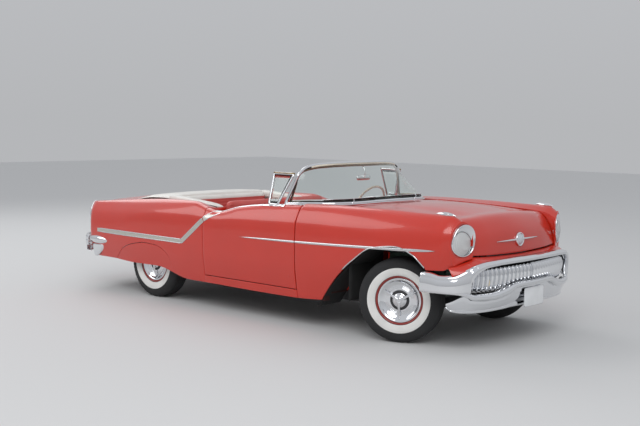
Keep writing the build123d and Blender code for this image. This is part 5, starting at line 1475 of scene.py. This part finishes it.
def steering():
    """The wheel with grips on its rim, two spokes, a horn ring and its boss; the column's collar, levers."""
    side = np.array((0.0, 1.0, 0.0))
    third = np.cross(COLUMN_WAY, side)
    t = np.arange(180) * 2 * np.pi / 180
    circle = side * np.cos(t)[:, None] + third * np.sin(t)[:, None]
    grip = 1 + 0.05 * np.cos(45 * t) * (np.abs(np.sin(t)) > 0.25)
    rim = sweep("wheel_rim", WHEEL_CENTRE + 0.215 * circle, ring(0.0105, 16), CREAM, up=COLUMN_WAY,
                scale=grip, wrap=True)
    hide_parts("steering_wheel")
    boss = [(0.0, 0.040), (0.020, 0.040), (0.034, 0.020), (0.040, 0.0), (0.036, -0.014), (0.028, -0.018),
            (0.0, -0.018)]
    cap = [(0.0, -0.016), (0.027, -0.016), (0.027, -0.022), (0.020, -0.029), (0.0, -0.033)]
    pieces = [rim, turned("wheel_boss", boss, WHEEL_CENTRE, COLUMN_WAY, CREAM, 64),
              turned("wheel_cap", cap, WHEEL_CENTRE, COLUMN_WAY, CHROME, 64)]
    for i, sign in enumerate((1, -1)):
        share = np.linspace(0, 1, 24)
        dish = COLUMN_WAY * (0.018 * (1 - share[:, None]) ** 1.5)
        path = WHEEL_CENTRE + sign * side * (0.030 + 0.178 * share[:, None]) + dish
        pieces.append(sweep(f"wheel_spoke_{i}", path, ring(0.018, 16, 0.38), CREAM, up=COLUMN_WAY,
                            scale=1.1 - 0.45 * share))
    half = t[:91]
    low = side * np.cos(half)[:, None] - third * np.sin(half)[:, None] * np.sign(third[2])
    horn = WHEEL_CENTRE + 0.135 * low - COLUMN_WAY * 0.006
    pieces.append(sweep("horn_ring", horn, ring(0.005, 12), CHROME, up=COLUMN_WAY))
    fasten(pieces, "steering")
    sleeve = [(0.0265, 0.048), (0.036, 0.052), (0.038, 0.090), (0.033, 0.140), (0.028, 0.150),
              (0.0265, 0.150)]
    fixed = [turned("column_collar", sleeve, WHEEL_CENTRE, COLUMN_WAY, CREAM, 64)]
    for name, sign, length in (("shift_lever", -1, 0.200), ("signal_lever", 1, 0.130)):
        start = WHEEL_CENTRE + COLUMN_WAY * 0.095 + side * sign * 0.030
        path = curve([start, start + side * sign * length * 0.5 + COLUMN_WAY * -0.006 + (0, 0, 0.012),
                      start + side * sign * length + COLUMN_WAY * -0.020 + (0, 0, 0.030)], 20)
        fixed.append(sweep(name, path, ring(0.0045, 12), CHROME))
        fixed.append(turned(f"{name}_knob", [(0.0, -0.012), (0.006, -0.012), (0.011, 0.0), (0.009, 0.014),
                                             (0.0, 0.019)], path[-1], path[-1] - path[-2], CREAM, 32))
    fasten(fixed, "body")


def visors():
    """Two sun visors turned back from the header: soft boards with piping round their edge."""
    outline_line, _ = rounded([(-0.185, -0.060), (0.185, -0.060), (0.185, 0.060), (-0.185, 0.060)], 0.030, 72)
    for side, sign in SIDES:
        centre = np.array((0.590, sign * 0.330, 1.412))
        rows = []
        for level, grow in ((-1, 0.93), (-0.9, 0.985), (0, 1.0), (0.9, 0.985), (1, 0.93), (1, 0.5),
                            (1, 0.06)):
            flat = outline_line * grow
            crown = 0.003 * (1 - grow)
            rows.append(stack(centre[0] + flat[:, 1], centre[1] + flat[:, 0],
                              centre[2] + level * (0.008 + crown) + flat[:, 1] * 0.22))
        middle = rows[0].mean(axis=0)
        grid = np.array([middle + (rows[0] - middle) * 0.5] + rows)
        board = tidy(sheet(f"sun_visor_{side}", grid, PALE_VINYL, wrap_cols=True, caps=True))
        edge = sweep(f"visor_piping_{side}", rows[2], ring(0.004, 8), WHITE_VINYL, wrap=True)
        arm_path = curve([centre + (0.052, sign * 0.10, 0.010), centre + (0.066, sign * 0.10, 0.016),
                          centre + (0.078, sign * 0.10, 0.014)], 10)
        arm = sweep(f"visor_arm_{side}", arm_path, ring(0.005, 10), CHROME)
        fasten((board, edge, arm), "body")


def fabric(name, colour):
    """Looped pile: small cells of light and shade in a slightly mottled colour."""
    made = material(name, colour, 0.95)
    tint(made, noise(made, 900.0, 2.0), [c * 0.45 for c in colour], [min(1, c * 1.4) for c in colour])
    where = node(made, "ShaderNodeTexCoord")
    cells = node(made, "ShaderNodeTexVoronoi", [("Vector", where, "Object")], Scale=420.0)
    return relief(made, cells, 0.002, "Distance")


CARPET = fabric("dark red carpet", (0.16, 0.022, 0.018))
DIAL = vinyl("dial face", (0.05, 0.05, 0.055), 0.25)
NEEDLE = vinyl("needle red", (0.7, 0.05, 0.03), 0.3)
PALE_VINYL = vinyl("pale pink vinyl", (0.72, 0.50, 0.45))

seats()
top_cover()
inner_panels()
carpet()
dash()
steering()
visors()


# Running gear and chassis

RIM_LIP = 0.204
WALL = (0.2065, 0.272)


def wheel_places():
    """Each wheel's name, its side's sign, its centre, the way out and the way forward."""
    for side, sign in SIDES:
        turn = np.array((-np.sin(STEER_REST), np.cos(STEER_REST), 0.0)) * sign
        pivot = np.array((FRONT_X, sign * (FRONT_TRACK / 2 - KINGPIN_INSET), TYRE_R))
        yield f"front_{{}}_{side}", f"front_wheel_{side}", sign, pivot + turn * KINGPIN_INSET, turn
        yield (f"rear_{{}}_{side}", f"rear_wheel_{side}", sign,
               np.array((REAR_X, sign * REAR_TRACK / 2, TYRE_R)), np.array((0.0, float(sign), 0.0)))


def spun(name, profile, centre, out, sign, *materials):
    """A closed profile of (radius, outward) spun round a wheel's axis, its own at each angle."""
    profile = np.asarray(profile, float)
    count = len(profile)
    t = np.arange(count)[:, None, None] * 2 * np.pi / count
    up = np.array((0.0, 0.0, 1.0))
    forward = np.cross(up, out) * -sign
    grid = centre + profile[..., :1] * (forward * np.cos(t) + up * np.sin(t)) + profile[..., 1:] * out
    return tidy(sheet(name, grid, *materials, wrap_rows=True, wrap_cols=True))


def zigzag(t, teeth):
    """A triangle wave between -1 and 1 round the wheel."""
    return 2 * np.abs(2 * ((t * teeth / (2 * np.pi)) % 1) - 1) - 1


def tyre(name, body, sign, centre, out):
    """A tyre: round sidewalls, the wide white band outside, ribs with zigzag grooves and notched edges."""
    wall = [(0.190, 0.058), (0.196, 0.072), (0.2045, 0.083), (0.2065, 0.0855), (0.208, 0.0875),
            (0.225, 0.0945), (0.248, 0.1003), (0.270, 0.1018), (0.272, 0.1010), (0.275, 0.1012),
            (0.278, 0.1020), (0.300, 0.0998), (0.318, 0.0960), (0.334, 0.0895), (0.345, 0.0810),
            (0.3512, 0.0710), (0.3545, 0.0620)]
    tread = []
    for middle in (0.047, 0.0235, 0.0):
        tread += [(0.355, middle + 0.0048), (0.3482, middle + 0.0036), (0.3482, middle - 0.0036),
                  (0.355, middle - 0.0048)]
    half = np.array(wall + tread[:-2])
    whole = np.concatenate([half, half[::-1] * (1, -1)])
    t = np.arange(240) * 2 * np.pi / 240
    sway = np.where((np.abs(whole[:, 1]) < 0.056) & (whole[:, 0] > 0.34), 0.0022, 0.0)
    notch = np.where((whole[:, 0] > 0.330) & (whole[:, 0] < 0.3535), 0.0032, 0.0)
    profile = np.broadcast_to(whole, (240, *whole.shape)).copy()
    profile[..., 1] += zigzag(t, 40)[:, None] * sway
    profile[..., 1] -= (zigzag(t, 60) > 0.3)[:, None] * notch * np.sign(whole[:, 1])
    obj = spun(name.format("tyre_skin"), profile, centre, out, sign, RUBBER, WHITEWALL)
    count = len(obj.data.polygons)
    middle = np.empty(count * 3)
    obj.data.polygons.foreach_get("center", middle)
    away = middle.reshape(-1, 3) - centre
    along = away @ out
    radius = np.linalg.norm(away - along[:, None] * out, axis=1)
    white = (along > 0) & (radius > WALL[0]) & (radius < WALL[1])
    obj.data.polygons.foreach_set("material_index", white.astype(int).tolist())
    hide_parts(name.format("tyre"))
    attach(obj, body)


def wheel(name, body, sign, centre, out):
    """A red steel wheel, and a bright cover: notched rim, fine grooves, a black ring of painted shade for its
    groove, a dome, three blades.
    """
    rim = [(0.198, -0.078), (0.203, -0.075), (0.1905, -0.062), (0.1895, 0.058), (0.197, 0.071),
           (RIM_LIP, 0.079), (0.2035, 0.0835), (0.199, 0.0845), (0.193, 0.0800), (0.186, 0.0700),
           (0.180, 0.0520), (0.0208, 0.0500), (0.0208, -0.0365), (0.060, -0.0365), (0.063, -0.0290),
           (0.121, -0.0290), (0.122, 0.0100), (0.172, 0.0240), (0.176, -0.0560), (0.186, -0.0740)]
    profile = np.broadcast_to(np.array(rim), (144, len(rim), 2)).copy()
    steel = spun(name.format("rim"), profile, centre, out, sign, WHEEL_RED)
    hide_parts(name.format("wheel"))
    radius = np.concatenate([np.linspace(0.0, 0.050, 14), np.linspace(0.053, 0.090, 12),
                             np.linspace(0.092, 0.152, 34), np.linspace(0.154, 0.186, 14)])
    face = smooth(np.array([0.0, 0.030, 0.048, 0.054, 0.090, 0.150, 0.160, 0.172, 0.184, 0.186]),
                  np.array([0.0900, 0.0865, 0.0780, 0.0720, 0.0600, 0.0590, 0.0640, 0.0735, 0.0775,
                            0.0765])[:, None],
                  radius)[:, 0]
    # The groove round the dome is not sunk: a thin black ring laid on the face from radius 0.060 to 0.083 is
    # its painted shade.
    at = np.linspace(0.060, 0.083, 6)
    level = np.interp(at, radius, face)
    shade_ring = list(zip(at, level + 0.0012)) + [(0.083, level[-1] - 0.002), (0.060, level[0] - 0.002)]
    rings = (radius > 0.096) & (radius < 0.148)
    face = face + np.where(rings, 0.0011 * np.sin((radius - 0.096) / 0.052 * 2 * np.pi * 6), 0)
    t = np.arange(144) * 2 * np.pi / 144
    teeth = np.exp(-(((radius - 0.1700) / 0.0085) ** 4))
    front = face + 0.0022 * zigzag(t, 72)[:, None] * teeth
    back = np.stack([np.array([0.186, 0.1]), np.array([0.0735, 0.053])], axis=1)
    profile = np.concatenate([stack(radius, front), np.broadcast_to(back, (144, 2, 2)),
                              np.broadcast_to(np.array([[[0.0, 0.053]]]), (144, 1, 2))], axis=1)
    cover = spun(name.format("cover"), profile, centre, out, sign, CHROME)
    pieces = [steel, cover, turned(name.format("painted_shade_ring"), shade_ring, centre, out, BLACK, 72)]
    up = np.array((0.0, 0.0, 1.0))
    forward = np.cross(up, out) * -sign
    for i, angle in enumerate(np.radians((30, 150, 270))):
        way = forward * np.cos(angle) + up * np.sin(angle)
        run = np.linspace(0.012, 0.158, 30)
        rise = smooth(np.array([0.0, 0.045, 0.11, 0.158]), np.array([[0.0905], [0.0860], [0.0745], [0.0685]]),
                      run)[:, 0]
        width = 0.0105 * (1 - ((run - 0.012) / 0.152) ** 1.6) + 0.0022
        path = centre + run[:, None] * way + rise[:, None] * out
        pieces.append(sweep(name.format(f"blade{i}"), path, ring(1.0, 14, 0.62), CHROME, up=out, scale=width))
    hub = [(0.0, 0.0865), (0.026, 0.0865), (0.0285, 0.0885), (0.0255, 0.0915), (0.016, 0.0940), (0.0, 0.0955)]
    pieces.append(turned(name.format("boss"), hub, centre, out, CHROME, 64))
    fasten(pieces, body)


def coil_springs():
    """The front coil springs between the lower arms and the frame."""
    for side, sign in SIDES:
        low = np.array((FRONT_X, sign * 0.470, 0.300))
        high = np.array((FRONT_X, sign * 0.430, 0.555))
        t = np.linspace(0, 1, 260)
        turn = 2 * np.pi * 6.5 * t
        path = low + (high - low) * t[:, None] + 0.058 * stack(np.cos(turn), np.sin(turn), 0.0)
        coil = sweep(f"coil_{side}", path, ring(0.0075, 10), STEEL)
        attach(coil, "body")


def bay():
    """Under the hood: ribbed valve covers, the air cleaner's lid, the radiator's core, cap and hose."""
    pieces = []
    for i, sign in enumerate((1, -1)):
        outline_line, _ = rounded([(-0.045, 0.0), (0.045, 0.0), (0.040, 0.060), (-0.040, 0.060)], 0.018, 40)
        x = np.linspace(-0.28, 0.28, 57)
        shrink = 0.9 + 0.1 * np.clip((0.28 - np.abs(x)) / 0.02, 0, 1) ** 0.5 + 0.012 * (np.sin(x * 90) > 0.6)
        flat = outline_line[None] * shrink[:, None, None]
        grid = stack(1.545 + x[:, None], sign * (0.160 + flat[..., 0]), 0.781 + flat[..., 1])
        pieces.append(tidy(sheet(f"valve_cover_{i}", grid, CAST_RED, wrap_cols=True, caps=True)))
    lid = [(0.0, 0.0), (0.192, 0.0), (0.196, 0.006), (0.188, 0.014), (0.140, 0.020), (0.060, 0.019),
           (0.0, 0.022)]
    pieces.append(turned("air_cleaner_lid", lid, (1.560, 0, 0.9605), (0, 0, 1), BLACK, 96))
    nut = [(0.0, 0.0), (0.008, 0.0), (0.008, 0.010), (0.014, 0.013), (0.014, 0.018), (0.0, 0.020)]
    pieces.append(turned("air_cleaner_nut", nut, (1.560, 0, 0.981), (0, 0, 1), CHROME, 24))
    y = np.linspace(-0.315, 0.315, 90)
    z = np.linspace(0.450, 0.910, 4)
    core = sheet("radiator_core", stack(2.3315 + 0.0015 * (np.arange(90) % 2)[:, None], y[:, None], z[None]),
                 STEEL)
    pieces.append(plated(core, 0.001))
    cap = [(0.0, 0.0), (0.030, 0.0), (0.030, 0.012), (0.022, 0.018), (0.0, 0.019)]
    pieces.append(turned("radiator_cap", cap, (2.300, 0.180, 0.930), (0, 0, 1), CHROME, 40))
    hose = curve([(1.880, 0.0, 0.780), (1.960, 0.02, 0.830), (2.120, 0.10, 0.880), (2.268, 0.16, 0.890)], 40)
    pieces.append(sweep("radiator_hose", hose, ring(0.024, 16), RUBBER))
    for i, turn in enumerate(np.arange(4) * np.pi / 2):
        way = np.array((0.0, np.cos(turn), np.sin(turn)))
        path = np.array((2.050, 0.0, 0.620)) + way * np.linspace(0.02, 0.200, 12)[:, None]
        pitched = (1, 0, 0) + 0.6 * np.cross((1, 0, 0), way)
        pieces.append(sweep(f"fan_blade_{i}", path, ring(0.038, 14, 0.06), STEEL, up=pitched))
    hub = [(0.0, -0.17), (0.022, -0.17), (0.022, -0.02), (0.040, -0.015), (0.040, 0.015), (0.0, 0.018)]
    pieces.append(turned("fan_hub", hub, (2.050, 0, 0.620), (1, 0, 0), STEEL, 40))
    fasten(pieces, "body")


def chassis_finishes():
    """Each CAD piece that stays gets its own finish."""
    for made, names in ((BLACK, ("frame", "control_arms", "rear_axle", "radiator")),
                        (PAINT, ("cowl", "dashboard")),
                        (FLOOR_PAINT, ("floor_pan",)), (CREAM, ("steering_column",)),
                        (CAST, ("engine_block",)),
                        (STEEL, ("leaf_springs", "driveshaft", "fuel_tank", "knuckle_left", "knuckle_right")),
                        (EXHAUST_METAL, ("exhaust",))):
        for name in names:
            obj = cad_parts[name]
            for slot in obj.material_slots:
                slot.material = made


WHITEWALL = vinyl("white sidewall", (0.82, 0.81, 0.78), 0.6)
WHEEL_RED = paint("dark red wheel enamel", (0.30, 0.022, 0.014))
CAST_RED = dull_metal("valve cover enamel", (0.10, 0.16, 0.13), 0.35, 0.0)
FLOOR_PAINT = dull_metal("floor underseal", (0.055, 0.018, 0.015), 0.7, 0.0)
EXHAUST_METAL = dull_metal("aluminised pipe", (0.30, 0.27, 0.24), 0.55)

for place in wheel_places():
    tyre(*place)
    wheel(*place)
coil_springs()
bay()
chassis_finishes()


# Stage, light and camera

def placed(at, *axes):
    """The matrix that stands an object at a place, with its three axes."""
    return Matrix.Translation(at) @ Matrix(np.stack(axes, axis=1).tolist()).to_4x4()


def studio():
    """A pale floor under broad soft lamps and an even sky."""
    made = bpy.data.materials.new("studio floor")
    made.use_nodes = True
    shader = made.node_tree.nodes["Principled BSDF"]
    shader.inputs["Base Color"].default_value = (0.66, 0.66, 0.655, 1)
    shader.inputs["Roughness"].default_value = 0.9
    u = np.linspace(-30, 30, 4)
    grid = stack(u[:, None], u[None, :], 0.0)
    floor = sheet("studio_floor", grid, made, flip=True)
    for name, place, size, power in (("key", (6.0, -7.0, 7.0), 6.0, 300),
                                     ("fill", (-6.0, -6.0, 6.0), 6.0, 150),
                                     ("back", (-8.0, 2.5, 7.5), 7.0, 200)):
        lamp = bpy.data.lights.new(name, "AREA")
        lamp.shape = "DISK"
        lamp.size = size
        lamp.energy = power
        obj = bpy.data.objects.new(name, lamp)
        bpy.context.scene.collection.objects.link(obj)
        aim = unit(np.array((0.0, 0.0, 0.5)) - np.array(place))
        across = unit(np.cross(aim, (0, 0, 1)))
        obj.matrix_world = placed(place, across, np.cross(across, aim), -aim)
    world = bpy.data.worlds.new("studio sky")
    bpy.context.scene.world = world
    world.use_nodes = True
    tree = world.node_tree
    where = tree.nodes.new("ShaderNodeTexCoord")
    parts = tree.nodes.new("ShaderNodeSeparateXYZ")
    ramp = tree.nodes.new("ShaderNodeValToRGB")
    tree.links.new(where.outputs["Generated"], parts.inputs["Vector"])
    tree.links.new(parts.outputs["Z"], ramp.inputs["Fac"])
    ramp.color_ramp.elements[0].position = 0.0
    ramp.color_ramp.elements[0].color = (0.62, 0.63, 0.65, 1)
    ramp.color_ramp.elements[1].position = 0.5
    ramp.color_ramp.elements[1].color = (0.78, 0.80, 0.84, 1)
    tree.links.new(ramp.outputs["Color"], tree.nodes["Background"].inputs["Color"])
    tree.nodes["Background"].inputs["Strength"].default_value = 0.75


def camera():
    """The camera at the photograph's viewpoint: turned, tipped and rolled about its own axes."""
    yaw, pitch, roll = 0.7247, -0.088, 0.0151
    ahead = np.array((-np.sin(yaw) * np.cos(pitch), np.cos(yaw) * np.cos(pitch), np.sin(pitch)))
    level = np.array((np.cos(yaw), np.sin(yaw), 0.0))
    upright = np.cross(level, ahead)
    right = level * np.cos(roll) + upright * np.sin(roll)
    up = upright * np.cos(roll) - level * np.sin(roll)
    lens = bpy.data.cameras.new("camera")
    lens.lens = 58.476
    lens.sensor_width = 36.0
    obj = bpy.data.objects.new("camera", lens)
    bpy.context.scene.collection.objects.link(obj)
    obj.matrix_world = placed((6.959, -7.6224, 1.8207), right, up, -ahead)
    bpy.context.scene.camera = obj


studio()
camera()
bpy.context.scene.view_settings.view_transform = "Standard"
